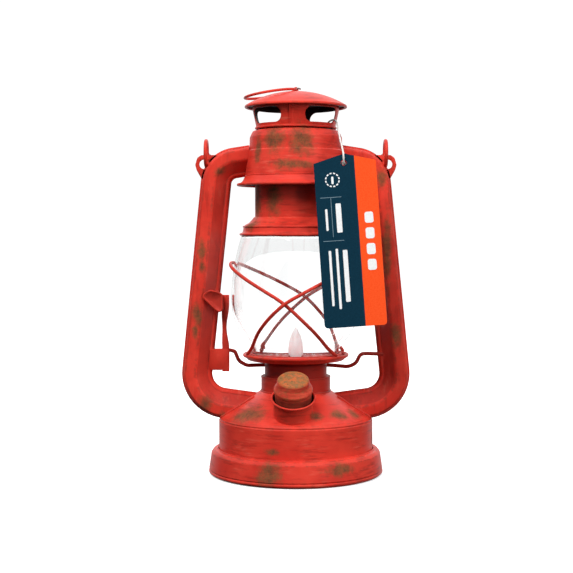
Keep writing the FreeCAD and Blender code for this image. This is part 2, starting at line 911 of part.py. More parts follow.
def make_drum():
    foot = dim("drum_foot")
    wall = spun(
        "drum",
        dim("sheet"),
        (dim("chimney_radius") + 0.05, foot),
        (dim("drum_foot_radius") - 0.6, foot),
        (dim("drum_foot_radius") + 0.15, foot + 1.0, (24.4, 216.45)),
        (dim("drum_top_radius"), foot + 11.8),
        (dim("drum_top_radius"), foot + 16.7),
    )
    tools = []
    for quarter in range(4):
        window = outline(
            f"slot_outline_{quarter}",
            (20, foot + SLOT_LOW),
            (30, foot + SLOT_LOW),
            (30, foot + SLOT_HIGH),
            (20, foot + SLOT_HIGH),
            (20, foot + SLOT_LOW),
        )
        wedge = turned(f"slot_{quarter}", window, 90 - SLOT_POST)
        start = quarter * 90 + SLOT_TURN + SLOT_POST / 2
        tools.append(swing(wedge, start))
    keep("vent_drum", cut("drum_cut", wall, *tools))


def cap_outline(name, closed):
    rim = dim("cap_rim")
    arc_steps = [(dim("cap_radius"), rim), (0, dim("cap_top"), cap_middle())]
    start = (dim("cap_radius"), rim - 1.4)
    if not closed:
        return spun(name, dim("sheet"), start, *arc_steps)
    return lathe(name, start, *arc_steps, (0, rim - 1.4))


def cap_middle():
    """A point half way up the cap's dome, which is part of a sphere."""
    radius = value_of(dim("cap_radius"))
    rise = value_of(dim("cap_top")) - value_of(dim("cap_rim"))
    sphere = (radius**2 + rise**2) / (2 * rise)
    half = radius / 2
    return half, value_of(dim("cap_top")) - sphere + math.sqrt(sphere**2 - half**2)


RING_REST = 9.0


def make_cap():
    keep("cap", cap_outline("cap", closed=False))
    pivot = V(0, 0, value_of(dim("ring_pivot")))
    eye = cylinder("staple_eye", 1.6, 3.0, pivot + V(0, -1.5, 0), V(0, 1, 0))
    bore = cylinder("staple_bore", 1.05, 5.0, pivot + V(0, -2.5, 0), V(0, 1, 0))
    keep("ring_staple", cut("staple_cut", eye, bore, cap_outline("cap_envelope", closed=True)))
    tilt = math.radians(RING_REST)
    reach = V(-math.cos(tilt), 0, -math.sin(tilt))
    normal = V(-math.sin(tilt), 0, math.cos(tilt))
    centre = pivot + reach * value_of(dim("ring_radius"))
    keep("lift_ring", torus("lift_ring_wire", dim("ring_radius"), dim("ring_wire_radius"), centre, normal))


# Bail -----------------------------------------------------------------------------------------


def make_bail():
    high = value_of(dim("bail_eye_height"))
    half = value_of(dim("bail_half_width"))
    eye = value_of(dim("bail_eye_radius"))
    back = eye + value_of(dim("bail_reach"))
    wire = value_of(dim("bail_wire_radius"))
    shanks = [
        Part.LineSegment(V(-half, eye, high), V(-half, back, high)).toShape(),
        Part.Arc(V(-half, back, high), V(0, back + half, high), V(half, back, high)).toShape(),
        Part.LineSegment(V(half, back, high), V(half, eye, high)).toShape(),
    ]
    section = Part.Wire(Part.makeCircle(wire, V(-half, eye, high), V(0, 1, 0)))
    hoop = doc.addObject("Part::Feature", "bail_hoop")
    hoop.Shape = Part.Wire(shanks).makePipeShell([section], True, False)
    eyes = []
    for side in (-1, 1):
        centre = V(side * half, 0, high)
        radii = dim("bail_eye_radius"), dim("bail_wire_radius")
        eyes.append(torus(f"eye_{side + 1}", *radii, centre, V(1, 0, 0)))
    keep("bail", fuse("bail_piece", hoop, *eyes))


# Dimmer ---------------------------------------------------------------------------------------

DIMMER_BASE = V(-1.5, -36.0, 43.1)
DIMMER_LEAN = math.radians(25.7)
DIMMER_AXIS = V(0, -math.sin(DIMMER_LEAN), math.cos(DIMMER_LEAN))


def dimmer_point(along):
    return DIMMER_BASE + DIMMER_AXIS * along


def lean(obj):
    """Place an object made about the vertical axis onto the dimmer's axis."""
    obj.Placement = FreeCAD.Placement(DIMMER_BASE, FreeCAD.Rotation(UP, DIMMER_AXIS))
    return obj


def make_dimmer():
    wall = dim("socket_radius")
    steps = [
        (wall, 10.0),
        (wall, 17.0),
        (wall + 1.5, 19.2, (12.35, 18.4)),
    ]
    cup = lean(spun("socket", dim("sheet"), *steps))
    cup.Placement.Base = dimmer_point(-10)
    lip = torus("socket_lip", wall + 1.2, 0.6, dimmer_point(9.4), DIMMER_AXIS)
    trim = tank_outline("socket_trim", closed=True)
    keep("dimmer_socket", cut("socket_cut", fuse("socket_piece", cup, lip), trim))
    can = cylinder("pot_can", 8.0, 8.8, dimmer_point(-11), DIMMER_AXIS)
    bush = cylinder("pot_bush", 4.2, 5.2, dimmer_point(-2.4), DIMMER_AXIS)
    bore = cylinder("pot_bore", dim("shaft_radius") + 0.05, 14, dimmer_point(-9.5), DIMMER_AXIS)
    keep("dimmer_potentiometer", cut("pot_cut", fuse("pot_body", can, bush), bore))
    nut = doc.addObject("Part::Prism", "nut_blank")
    nut.Polygon = 6
    bind(nut, Circumradius=6.4, Height=2.0)
    nut.Placement = FreeCAD.Placement(dimmer_point(0.95), FreeCAD.Rotation(UP, DIMMER_AXIS))
    thread = cylinder("nut_bore", 4.25, 4.0, dimmer_point(0), DIMMER_AXIS)
    keep("dimmer_nut", cut("nut_cut", nut, thread))
    keep("dimmer_shaft", cylinder("shaft", dim("shaft_radius"), 24.5, dimmer_point(-9.0), DIMMER_AXIS))
    wide = dim("knob_radius")
    bore_wall = dim("shaft_radius") + 0.02
    knob = lathe(
        "knob",
        (bore_wall, 8.0),
        (wide - 1.4, 8.0),
        (wide - 0.7, 9.6),
        (wide - 0.5, 15.4),
        (wide, 16.2),
        (wide, 17.4),
        (wide - 1.7, 20.4),
        (wide - 2.2, 23.2),
        (wide - 3.0, 24.1, (9.3, 23.9)),
        (0, 24.2),
        (0, 15.6),
        (bore_wall, 15.6),
    )
    keep("dimmer_knob", lean(knob))


# Tag ------------------------------------------------------------------------------------------

TAG_FOOT = V(17.2, -47.1, 94.9)
TAG_LEAN = math.radians(3.9)
TAG_TIP = math.radians(5.2)


def tag_frame():
    """Across the card, and up the card, leaning against the globe's guard."""
    across = V(math.cos(TAG_LEAN), 0, math.sin(TAG_LEAN))
    up = V(-math.sin(TAG_LEAN), 0, math.cos(TAG_LEAN)) * math.cos(TAG_TIP) + V(0, math.sin(TAG_TIP), 0)
    return across, up, across.cross(up)


def tag_place():
    across, up, normal = tag_frame()
    return FreeCAD.Placement(FreeCAD.Matrix(
        across.x, up.x, normal.x, TAG_FOOT.x,
        across.y, up.y, normal.y, TAG_FOOT.y,
        across.z, up.z, normal.z, TAG_FOOT.z,
        0, 0, 0, 1,
    ))


def make_tag():
    wide = dim("tag_width")
    high = dim("tag_height")
    peak = value_of(high) + value_of(dim("tag_gable"))
    corners = [
        (2.0, 0),
        (wide - 2.0, 0),
        (wide, 2.0),
        (wide, high),
        (wide * 0.5, Size(peak, "Dimensions.tag_height + Dimensions.tag_gable")),
        (0, high),
        (0, 2.0),
    ]
    blank = plate("tag", corners, dim("tag_thickness"), tag_place())
    across, up, normal = tag_frame()
    centre = TAG_FOOT + across * (value_of(wide) * 0.485) + up * (value_of(high) - 0.5)
    hole = cylinder("tag_hole", dim("tag_hole_radius"), 6, centre - normal * 3, normal)
    keep("hang_tag", cut("tag_cut", blank, hole))
    make_string(centre, normal)


# The string's route, from inside the vent drum to the knot behind the card.
STRING_ROUTE = [
    V(17.5, -7.5, 216.0),
    V(20.0, -8.8, 221.0),
    V(25.0, -12.2, 221.6),
    V(26.0, -18.0, 214.8),
    V(26.8, -25.7, 208.5),
    V(27.6, -33.0, 204.0),
    V(28.3, -39.0, 199.3),
    V(28.45, -39.7, 195.4),
    V(28.56, -37.9, 193.45),
]
KNOT_RADIUS = 2.0
KNOT_BEHIND = 2.5


def make_string(hole, normal):
    """Out of a vent slot, down in front of the crown, and through the card's hole to a knot."""
    keep("tag_string", wire_piece("string", STRING_ROUTE, dim("string_radius")))
    knot = doc.addObject("Part::Sphere", "knot")
    bind(knot, Radius=KNOT_RADIUS)
    knot.Placement.Base = hole - normal * KNOT_BEHIND
    keep("string_knot", knot)
    print_route()


def print_route(share=0.45):
    """The string's runs, bend radii and length, and its volume against its section times its length."""
    for before, corner, after in zip(STRING_ROUTE, STRING_ROUTE[1:], STRING_ROUTE[2:]):
        run_in = corner - before
        run_out = after - corner
        tangent = share * min(run_in.Length, run_out.Length)
        radius = tangent / math.tan(run_in.getAngle(run_out) / 2)
        print("string run", round(run_in.Length, 2), "bend radius", round(radius, 2))
    length = rounded(STRING_ROUTE, share).Length
    section = math.pi * value_of(dim("string_radius")) ** 2
    ratio = parts["tag_string"].Shape.Volume / (section * length)
    print("string length", round(length, 2), "volume ratio", round(ratio, 4))


# Build ----------------------------------------------------------------------------------------


def check_and_export():
    doc.recompute()
    for obj in doc.Objects:
        if "Invalid" in obj.State or "Error" in obj.State:
            raise RuntimeError(f"{obj.Name} failed: {obj.State}")
    for node, obj in parts.items():
        shape = obj.Shape
        if shape.isNull() or not shape.isValid() or not shape.Solids:
            raise RuntimeError(f"{node} has no valid solid")
    os.makedirs("parts", exist_ok=True)
    for node, obj in parts.items():
        obj.Shape.exportStep(f"parts/{node}.step")
        print(node, len(obj.Shape.Solids), round(obj.Shape.Volume, 1))


make_tank()
make_floor()
make_door()
make_tray()
make_cells()
make_board()
make_burner()
make_globe_plate()
make_globe()
make_guards()
make_crossbar()
make_lift_strap()
make_tubes()
make_crown()
make_globe_holder()
make_chimney()
make_drum()
make_cap()
make_bail()
make_dimmer()
make_tag()
check_and_export()
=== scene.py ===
import math

import bmesh
import bpy
import numpy as np
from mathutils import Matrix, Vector


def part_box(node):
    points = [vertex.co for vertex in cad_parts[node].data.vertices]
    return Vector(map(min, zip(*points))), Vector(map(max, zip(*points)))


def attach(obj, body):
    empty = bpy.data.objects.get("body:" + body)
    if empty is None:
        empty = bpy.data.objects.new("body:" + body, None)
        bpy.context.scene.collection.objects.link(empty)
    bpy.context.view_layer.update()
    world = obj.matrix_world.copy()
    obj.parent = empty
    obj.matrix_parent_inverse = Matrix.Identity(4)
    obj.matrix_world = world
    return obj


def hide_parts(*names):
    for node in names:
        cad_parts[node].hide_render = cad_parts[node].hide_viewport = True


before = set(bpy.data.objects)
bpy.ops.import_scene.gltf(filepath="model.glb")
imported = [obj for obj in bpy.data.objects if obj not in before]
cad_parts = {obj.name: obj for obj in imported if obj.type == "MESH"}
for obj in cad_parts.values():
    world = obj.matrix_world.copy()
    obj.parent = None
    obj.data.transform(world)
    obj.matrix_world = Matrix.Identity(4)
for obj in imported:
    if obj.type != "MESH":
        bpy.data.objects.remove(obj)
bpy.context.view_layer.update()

MM = 0.001
TURN = 2 * math.pi


# Measures of the lantern, in millimetres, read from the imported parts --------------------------


def reach(node):
    """Largest distance from the axis, lowest height and highest height of a round piece."""
    low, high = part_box(node)
    return high.x / MM, low.z / MM, high.z / MM


TANK_R, TANK_LOW, TANK_TOP = reach("tank")
SKIRT_R, _, SKIRT_TOP = reach("base_skirt")
COLLAR_R, COLLAR_LOW, COLLAR_TOP = reach("burner_collar")
GALLERY_R, _, _ = reach("burner_gallery")
PLATE_R, PLATE_LOW, PLATE_TOP = reach("globe_plate")
GLOBE_R, GLOBE_LOW, GLOBE_TOP = reach("globe")
HOLDER_R, HOLDER_LOW, HOLDER_TOP = reach("globe_holder")
NECK_R, _, _ = reach("neck_tube")
CROWN_R, CROWN_LOW, CROWN_TOP = reach("crown")
BELL_R, BELL_LOW, _ = reach("bell_flange")
DRUM_R, DRUM_LOW, DRUM_TOP = reach("vent_drum")
CAP_R, CAP_LOW, CAP_TOP = reach("cap")
FLAME_R, FLAME_LOW, FLAME_TOP = reach("flame_diffuser")
SHEET = 0.6


# Camera and light -----------------------------------------------------------------------------


CAMERA_SENSOR = 36.0
CAMERA_LENS = 78.53
CAMERA_AWAY = 0.787
CAMERA_HIGH = 0.15405
CAMERA_DOWN = 2.634
CAMERA_PAN = 0.426


def make_camera():
    camera = bpy.data.objects.new("camera", bpy.data.cameras.new("camera"))
    camera.data.sensor_width = CAMERA_SENSOR
    camera.data.lens = CAMERA_LENS
    camera.location = (0.0, -CAMERA_AWAY, CAMERA_HIGH)
    camera.rotation_euler = (math.radians(90 - CAMERA_DOWN), 0, math.radians(CAMERA_PAN))
    bpy.context.scene.collection.objects.link(camera)
    bpy.context.scene.camera = camera


# Lamp powers in watts, and how brightly the studio glows from each side.
KEY_POWER = 10.0
FILL_POWER = 5.4
BACK_POWER = 4.0
STUDIO_AMBIENT = 0.12
STUDIO_CEILING = 0.62
STUDIO_WALL = 0.8
STUDIO_GROUND = -0.1
STUDIO_SEEN = 1.05


def area_light(name, place, aim, size, power):
    light = bpy.data.lights.new(name, "AREA")
    light.shape = "RECTANGLE"
    light.size, light.size_y = size
    light.energy = power
    lamp = bpy.data.objects.new(name, light)
    lamp.location = place
    lamp.visible_glossy = False
    lamp.rotation_euler = (Vector(aim) - Vector(place)).to_track_quat("-Z", "Y").to_euler()
    bpy.context.scene.collection.objects.link(lamp)


def make_light():
    """Soft lamps, and a studio that is white to the eye and brighter above and behind than around."""
    middle = (0, 0, 0.13)
    area_light("key", (-0.38, -0.66, 0.95), middle, (0.5, 0.5), KEY_POWER)
    area_light("fill", (0.75, -0.75, 0.42), middle, (0.45, 0.6), FILL_POWER)
    area_light("back", (0.1, 0.9, 0.7), middle, (0.8, 0.5), BACK_POWER)
    world = bpy.data.worlds.new("studio")
    world.use_nodes = True
    nodes, links = world.node_tree.nodes, world.node_tree.links
    way = nodes.new("ShaderNodeTexCoord")
    split = nodes.new("ShaderNodeSeparateXYZ")
    links.new(way.outputs["Generated"], split.inputs[0])

    def glow(axis, low, high, most):
        part = nodes.new("ShaderNodeMapRange")
        part.interpolation_type = "SMOOTHSTEP"
        links.new(split.outputs[axis], part.inputs["Value"])
        for label, number in zip(("From Min", "From Max", "To Min", "To Max"), (low, high, 0.0, most)):
            part.inputs[label].default_value = number
        return part.outputs["Result"]

    under = nodes.new("ShaderNodeMath")
    links.new(glow("Z", 0.05, -0.25, STUDIO_GROUND), under.inputs[0])
    total = nodes.new("ShaderNodeMath")
    links.new(glow("Z", 0.15, 0.85, STUDIO_CEILING), total.inputs[0])
    links.new(glow("Y", 0.55, 0.9, STUDIO_WALL), total.inputs[1])
    under.inputs[1].default_value = STUDIO_AMBIENT
    whole = nodes.new("ShaderNodeMath")
    links.new(total.outputs[0], whole.inputs[0])
    links.new(under.outputs[0], whole.inputs[1])
    soft = nodes["Background"]
    soft.inputs["Color"].default_value = (1, 1, 1, 1)
    links.new(whole.outputs[0], soft.inputs["Strength"])
    seen = nodes.new("ShaderNodeBackground")
    seen.inputs["Color"].default_value = (1, 1, 1, 1)
    seen.inputs["Strength"].default_value = STUDIO_SEEN
    path = nodes.new("ShaderNodeLightPath")
    pick = nodes.new("ShaderNodeMixShader")
    links.new(path.outputs["Is Camera Ray"], pick.inputs[0])
    links.new(soft.outputs[0], pick.inputs[1])
    links.new(seen.outputs[0], pick.inputs[2])
    links.new(pick.outputs[0], nodes["World Output"].inputs["Surface"])
    bpy.context.scene.world = world
    bpy.context.scene.view_settings.view_transform = "Standard"


# Curves and surfaces --------------------------------------------------------------------------


def rounded(corners, radii, closed=False, steps=6):
    """Points of a polyline whose corners are round, and how sharply each point turns.

    At a corner of radius r between unit directions a and b that turn by T, the arc begins
    r tan(T/2) before the corner and its centre lies on the inner bisector.
    """
    corners = [np.array(c, float) for c in corners]
    count = len(corners)
    radii = list(radii) if hasattr(radii, "__len__") else [radii] * count
    points, bends = [], []
    for i, corner in enumerate(corners):
        if not closed and i in (0, count - 1) or radii[i] <= 0:
            points.append(corner)
            bends.append(0.0)
            continue
        into = corner - corners[i - 1]
        out = corners[(i + 1) % count] - corner
        room = 0.48 * min(np.linalg.norm(into), np.linalg.norm(out))
        into = into / np.linalg.norm(into)
        out = out / np.linalg.norm(out)
        turn = math.acos(max(-1.0, min(1.0, float(into @ out))))
        if turn < 1e-3:
            points.append(corner)
            bends.append(0.0)
            continue
        tangent = min(radii[i] * math.tan(turn / 2), room)
        radius = tangent / math.tan(turn / 2)
        inward = (out - into) / np.linalg.norm(out - into)
        centre = corner + inward * radius / math.cos(turn / 2)
        first = (corner - into * tangent) - centre
        side = into
        for k in range(steps + 1):
            angle = turn * k / steps
            points.append(centre + first * math.cos(angle) + side * radius * math.sin(angle))
            bends.append(math.sin(math.pi * (k + 0.5) / (steps + 1)))
    return np.array(points), np.array(bends)


def along(points, gap):
    """The same line with more points, none further apart than the gap."""
    out = [points[0]]
    for a, b in zip(points, points[1:]):
        parts = max(1, int(math.ceil(np.linalg.norm(b - a) / gap)))
        out += [a + (b - a) * k / parts for k in range(1, parts + 1)]
    return np.array(out)


def normals_2d(line, closed=False):
    """The unit normal to the right of a plane line, at each of its points."""
    if closed:
        tangent = np.roll(line, -1, 0) - np.roll(line, 1, 0)
    else:
        tangent = np.gradient(line, axis=0)
    tangent /= np.maximum(np.linalg.norm(tangent, axis=1, keepdims=True), 1e-9)
    return np.stack([tangent[:, 1], -tangent[:, 0]], 1)


def sheet_loop(line, bends, gauge):
    """Closed outline of sheet metal: the outer line, a round edge, the inner line, a round edge."""
    normal = normals_2d(line)
    inner = line - normal * gauge

    def edge(centre, across, way):
        angle = np.linspace(0, math.pi, 6)[1:-1, None]
        return centre + across * np.cos(angle) * gauge / 2 + way * np.sin(angle) * gauge / 2

    ahead = (line[-1] - line[-2]) / np.linalg.norm(line[-1] - line[-2])
    behind = (line[0] - line[1]) / np.linalg.norm(line[0] - line[1])
    far = edge((line[-1] + inner[-1]) / 2, normal[-1], ahead)
    near = edge((line[0] + inner[0]) / 2, -normal[0], behind)
    loop = np.concatenate([line, far, inner[::-1], near])
    worn = np.concatenate([bends, np.ones(len(far)), np.zeros(len(inner)), np.ones(len(near))])
    # Inner faces carry the inside value, which the paint turns into painted shade.
    inside = np.concatenate([np.zeros(len(line)), np.full(len(far), 0.3), np.ones(len(inner)),
                             np.full(len(near), 0.3)])
    return loop, worn, inside


def spin(profile, steps=192):
    """Grid of a surface of revolution: radius times (cos a, sin a), and the height."""
    angle = np.linspace(0, TURN, steps, endpoint=False)
    radius, height = profile[:, 0], profile[:, 1]
    return np.stack([
        radius[:, None] * np.cos(angle),
        radius[:, None] * np.sin(angle),
        np.repeat(height[:, None], steps, 1),
    ], 2)


def turning_frame(path, closed=False):
    """Unit tangents and two unit normals that turn with the path and never twist about it."""
    if closed:
        tangent = np.roll(path, -1, 0) - np.roll(path, 1, 0)
    else:
        tangent = np.gradient(path, axis=0)
    tangent /= np.linalg.norm(tangent, axis=1, keepdims=True)
    guess = np.array((0.0, 0.0, 1.0))
    if abs(guess @ tangent[0]) > 0.95:
        guess = np.array((0.0, 1.0, 0.0))
    normal = [guess - tangent[0] * (guess @ tangent[0])]
    for t in tangent[1:]:
        normal.append(normal[-1] - t * (normal[-1] @ t))
    normal = np.array(normal)
    normal /= np.linalg.norm(normal, axis=1, keepdims=True)
    return tangent, normal, np.cross(tangent, normal)


def carry(path, section, frame_axes):
    """Grid of a plane section carried along a path on its two normals."""
    _, first, second = frame_axes
    return (path[:, None, :] + first[:, None, :] * section[None, :, 0:1]
            + second[:, None, :] * section[None, :, 1:2])


def circle(radius, steps=14):
    angle = np.linspace(0, TURN, steps, endpoint=False)
    return np.stack([np.cos(angle), np.sin(angle)], 1) * radius


def wire(path, radius, closed=False, steps=14):
    """Grid of round wire along a path, its open ends rounded off as half spheres."""
    path = np.asarray(path, float)
    axes = turning_frame(path, closed)
    grid = carry(path, circle(radius, steps), axes)
    if closed:
        return grid
    tangent = axes[0]
    head, tail = [], []
    for k in (0.75, 0.4):
        shrink = math.sqrt(1 - k * k)
        head.append(path[0] - tangent[0] * radius * k + (grid[0] - path[0]) * shrink)
        tail.append(path[-1] + tangent[-1] * radius * k + (grid[-1] - path[-1]) * shrink)
    tip = np.repeat((path[0] - tangent[0] * radius)[None], steps, 0)
    toe = np.repeat((path[-1] + tangent[-1] * radius)[None], steps, 0)
    return np.concatenate([[tip], head, grid, tail[::-1], [toe]])


def smoothed(values, passes):
    """The same line with each inner point moved to the mean of its neighbours and itself."""
    values = np.array(values, float)
    for _ in range(passes):
        values[1:-1] = (values[:-2] + 2 * values[1:-1] + values[2:]) / 4
    return values


class Surface:
    """One grid of points, in millimetres, with whether each direction closes on itself."""

    def __init__(self, points, wrap_rows=False, wrap_cols=False, worn=None, inside=None, uv=None):
        self.points = np.asarray(points, float)
        self.wrap = (wrap_rows, wrap_cols)
        shape = self.points.shape[:2]
        self.worn = self._field(worn, shape)
        self.inside = self._field(inside, shape)
        self.uv = uv

    @staticmethod
    def _field(values, shape):
        if values is None:
            return np.zeros(shape)
        values = np.asarray(values, float)
        return np.repeat(values[:, None], shape[1], 1) if values.ndim == 1 else values

    def faces(self):
        """Quads of the grid, turned so that the closed surface's volume is positive."""
        rows, cols = self.points.shape[:2]
        index = np.arange(rows * cols).reshape(rows, cols)
        down = np.roll(index, -1, 0)
        right = np.roll(index, -1, 1)
        both = np.roll(down, -1, 1)
        quads = np.stack([index, right, both, down], 2)
        quads = quads[: rows if self.wrap[0] else rows - 1, : cols if self.wrap[1] else cols - 1]
        quads = quads.reshape(-1, 4)
        p = self.points.reshape(-1, 3) - self.points.reshape(-1, 3).mean(0)
        a, b, c, d = (p[quads[:, k]] for k in range(4))
        volume = (np.einsum("ij,ij->i", a, np.cross(b, c)) + np.einsum("ij,ij->i", a, np.cross(c, d))).sum()
        return quads if volume > 0 else quads[:, ::-1]


def piece(name, surfaces, body, material, nodes=(), sharp=None):
    """One mesh made of grids, with its wear and inside values, riding on a body."""
    surfaces = surfaces if isinstance(surfaces, list) else [surfaces]
    points, faces, worn, inside, base = [], [], [], [], 0
    for s in surfaces:
        points.append(s.points.reshape(-1, 3))
        faces.append(s.faces() + base)
        worn.append(s.worn.reshape(-1))
        inside.append(s.inside.reshape(-1))
        base += len(points[-1])
    points = np.concatenate(points) * MM
    faces = np.concatenate(faces)
    mesh = bpy.data.meshes.new(name)
    mesh.from_pydata(points.tolist(), [], faces.tolist())
    for label, values in (("worn", worn), ("inside", inside)):
        layer = mesh.attributes.new(label, "FLOAT", "POINT")
        layer.data.foreach_set("value", np.concatenate(values).astype(np.float32))
    if all(s.uv is not None for s in surfaces):
        uv = np.concatenate([s.uv.reshape(-1, 2) for s in surfaces])
        layer = mesh.uv_layers.new(name="UVMap")
        layer.data.foreach_set("uv", uv[faces.reshape(-1)].astype(np.float32).reshape(-1))
    work = bmesh.new()
    work.from_mesh(mesh)
    bmesh.ops.remove_doubles(work, verts=work.verts, dist=1e-7)
    work.to_mesh(mesh)
    work.free()
    mesh.polygons.foreach_set("use_smooth", np.ones(len(mesh.polygons), bool))
    if sharp is not None:
        mesh.set_sharp_from_angle(angle=math.radians(sharp))
    mesh.materials.append(material)
    obj = bpy.data.objects.new(name, mesh)
    bpy.context.scene.collection.objects.link(obj)
    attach(obj, body)
    if nodes:
        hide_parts(*nodes)
    return obj


def spun(corners, radii, gauge=SHEET, steps=192, gap=4.0):
    """Spun sheet metal: the outer line's corners rounded, a gauge of thickness inside it."""
    line, bends = rounded(corners, radii)
    fine = [line[0]]
    turns = [bends[0]]
    for a, b, bend in zip(line, line[1:], bends[1:]):
        parts = max(1, int(math.ceil(np.linalg.norm(b - a) / gap)))
        for k in range(1, parts + 1):
            fine.append(a + (b - a) * k / parts)
            turns.append(bend if k == parts else 0.0)
    loop, worn, inside = sheet_loop(np.array(fine), np.array(turns), gauge)
    return Surface(spin(loop, steps), True, True, worn, inside)


def solid(corners, radii, steps=160):
    """A turned solid whose outline starts and ends on the axis."""
    line, bends = rounded(corners, radii)
    return Surface(spin(line, steps), False, True, bends)


def bead(radius, height, thick, steps=192):
    """A ring of round wire about the axis."""
    angle = np.linspace(0, TURN, steps, endpoint=False)
    path = np.stack([radius * np.cos(angle), radius * np.sin(angle), np.full(steps, float(height))], 1)
    grid = wire(path, thick, closed=True, steps=12)
    return Surface(grid, True, True, np.full(steps, 0.5))


# Materials ------------------------------------------------------------------------------------


def tone(red, green, blue):
    """A screen colour, 0 to 255, as linear light."""
    values = [c / 255 for c in (red, green, blue)]
    return tuple(c / 12.92 if c <= 0.04045 else ((c + 0.055) / 1.055) ** 2.4 for c in values) + (1.0,)


class Finish:
    """A material's nodes: each method adds one and returns its output."""

    def __init__(self, name):
        self.material = bpy.data.materials.new(name)
        self.material.use_nodes = True
        self.tree = self.material.node_tree
        self.shader = self.tree.nodes["Principled BSDF"]
        self.place = self.add("ShaderNodeTexCoord").outputs["Object"]

    def add(self, kind):
        return self.tree.nodes.new(kind)

    def feed(self, socket, value):
        if isinstance(value, bpy.types.NodeSocket):
            self.tree.links.new(value, socket)
        else:
            socket.default_value = value

    def sum(self, kind, a, b=0.0, c=0.0, clamp=False):
        node = self.add("ShaderNodeMath")
        node.operation = kind
        node.use_clamp = clamp
        for socket, value in zip(node.inputs, (a, b, c)):
            self.feed(socket, value)
        return node.outputs[0]

    def vector(self, kind, a, b=(0, 0, 0)):
        node = self.add("ShaderNodeVectorMath")
        node.operation = kind
        self.feed(node.inputs[0], a)
        self.feed(node.inputs[1], b)
        return node.outputs["Value"] if kind == "LENGTH" else node.outputs["Vector"]

    def step(self, value, low, high):
        """Zero below low, one above high, smooth between. Low may be above high."""
        node = self.add("ShaderNodeMapRange")
        node.interpolation_type = "SMOOTHSTEP"
        self.feed(node.inputs["Value"], value)
        if low <= high:
            values = (low, high, 0.0, 1.0)
        else:
            values = (high, low, 1.0, 0.0)
        for label, number in zip(("From Min", "From Max", "To Min", "To Max"), values):
            node.inputs[label].default_value = number
        return node.outputs["Result"]

    def noise(self, scale, detail=3.0, rough=0.55, stretch=(1, 1, 1), shift=(0, 0, 0)):
        """Fractal noise of the given scale per metre, drawn out along an axis by stretch."""
        node = self.add("ShaderNodeMapping")
        self.feed(node.inputs["Vector"], self.place)
        node.inputs["Scale"].default_value = stretch
        node.inputs["Location"].default_value = shift
        texture = self.add("ShaderNodeTexNoise")
        self.feed(texture.inputs["Vector"], node.outputs["Vector"])
        texture.inputs["Scale"].default_value = scale
        texture.inputs["Detail"].default_value = detail
        texture.inputs["Roughness"].default_value = rough
        return texture.outputs["Fac"]

    def mix(self, share, a, b):
        node = self.add("ShaderNodeMix")
        node.data_type = "RGBA"
        self.feed(node.inputs["Factor"], share)
        self.feed(node.inputs["A"], a)
        self.feed(node.inputs["B"], b)
        return node.outputs["Result"]

    def field(self, label):
        node = self.add("ShaderNodeAttribute")
        node.attribute_name = label
        return node.outputs["Fac"]

    def bump(self, height, depth, strength=1.0):
        node = self.add("ShaderNodeBump")
        node.inputs["Strength"].default_value = strength
        node.inputs["Distance"].default_value = depth
        self.feed(node.inputs["Height"], height)
        self.tree.links.new(node.outputs["Normal"], self.shader.inputs["Normal"])

    def set(self, **values):
        for label, value in values.items():
            self.feed(self.shader.inputs[label.replace("_", " ")], value)
        return self.material


# Where the paint has rusted through: centre and half sizes, in millimetres.
RUST = [
    ((-30.5, -29, 41), (12, 11, 6.0)),
    ((26, -30, 41), (6.5, 6, 3.6)),
    ((37, -22, 41), (5, 6, 3.6)),
    ((12, -38, 42), (5, 5, 3.0)),
    ((-16.5, -52, 8), (8.5, 7, 7.5)),
    ((-15, -48.5, 21), (5, 5, 2.4)),
    ((27, -47, 10.5), (10.5, 8, 4.2)),
    ((-13, -26, 208.5), (7.5, 8, 8.5)),
    ((3.5, -29, 208), (8, 8, 10)),
    ((-23.5, -19, 204), (2.6, 5, 9)),
    ((-2, -30, 193), (14, 7, 3.4)),
    ((-14, -22, 173), (5, 7, 12)),
    ((-24, -9, 172), (5, 7, 13)),
    ((-29, -17, 157), (6, 7, 4)),
    ((-58.5, -7, 141), (2.6, 3, 7.5)),
    ((-58.5, -7, 131), (1.8, 3, 4)),
    ((-61.5, -7, 100), (3.2, 3, 7)),
    ((-63, -7, 90), (2, 3, 4.5)),
    ((-57, -6, 44), (4.5, 4, 6)),
    ((-45, -6, 37), (3.5, 4, 3)),
    ((62.5, -7, 88), (3.4, 3, 9)),
    ((57, -7, 140), (3, 3, 22)),
    ((53, -7, 186), (4, 3, 6)),
    ((-47, -6, 190), (4, 3, 3)),
    ((47.5, 0, 22), (4, 12, 5)),
    ((-20, 44, 24), (10, 8, 6)),
    ((30, 34, 41), (9, 9, 4)),
    ((-40, 20, 39), (8, 9, 4)),
    ((20, 51, 9), (10, 7, 5)),
    ((-44, 32, 9), (8, 8, 4)),
    ((10, 28, 205), (11, 8, 7)),
    ((-12, 24, 175), (8, 7, 10)),
    ((19, 17, 178), (7, 7, 9)),
    ((57, 7, 120), (3, 3, 14)),
    ((-60, 7, 112), (3, 3, 12)),
    ((14, 10, 238), (8, 6, 3)),
    ((-12, 18, 236), (7, 6, 3)),
]


def rust_mask(finish):
    """Soft blots round the listed places, broken up by noise: each is 1.25 - |p - centre| / size."""
    ragged = finish.sum("MULTIPLY", finish.sum("SUBTRACT", finish.noise(170, 6, 0.72), 0.5), 2.3)
    best = None
    for centre, size in RUST:
        away = finish.vector("SUBTRACT", finish.place, tuple(c * MM for c in centre))
        scaled = finish.vector("MULTIPLY", away, tuple(1 / (s * MM) for s in size))
        near = finish.sum("SUBTRACT", 1.25, finish.vector("LENGTH", scaled))
        best = near if best is None else finish.sum("MAXIMUM", best, near)
    body = finish.step(finish.sum("ADD", best, ragged), -0.15, 0.95)
    speck = finish.step(finish.noise(700, 5, 0.75, shift=(4, 9, 1)), 0.3, 0.62)
    return finish.sum("MULTIPLY", body, finish.sum("MULTIPLY_ADD", speck, 0.3, 0.66), clamp=True)


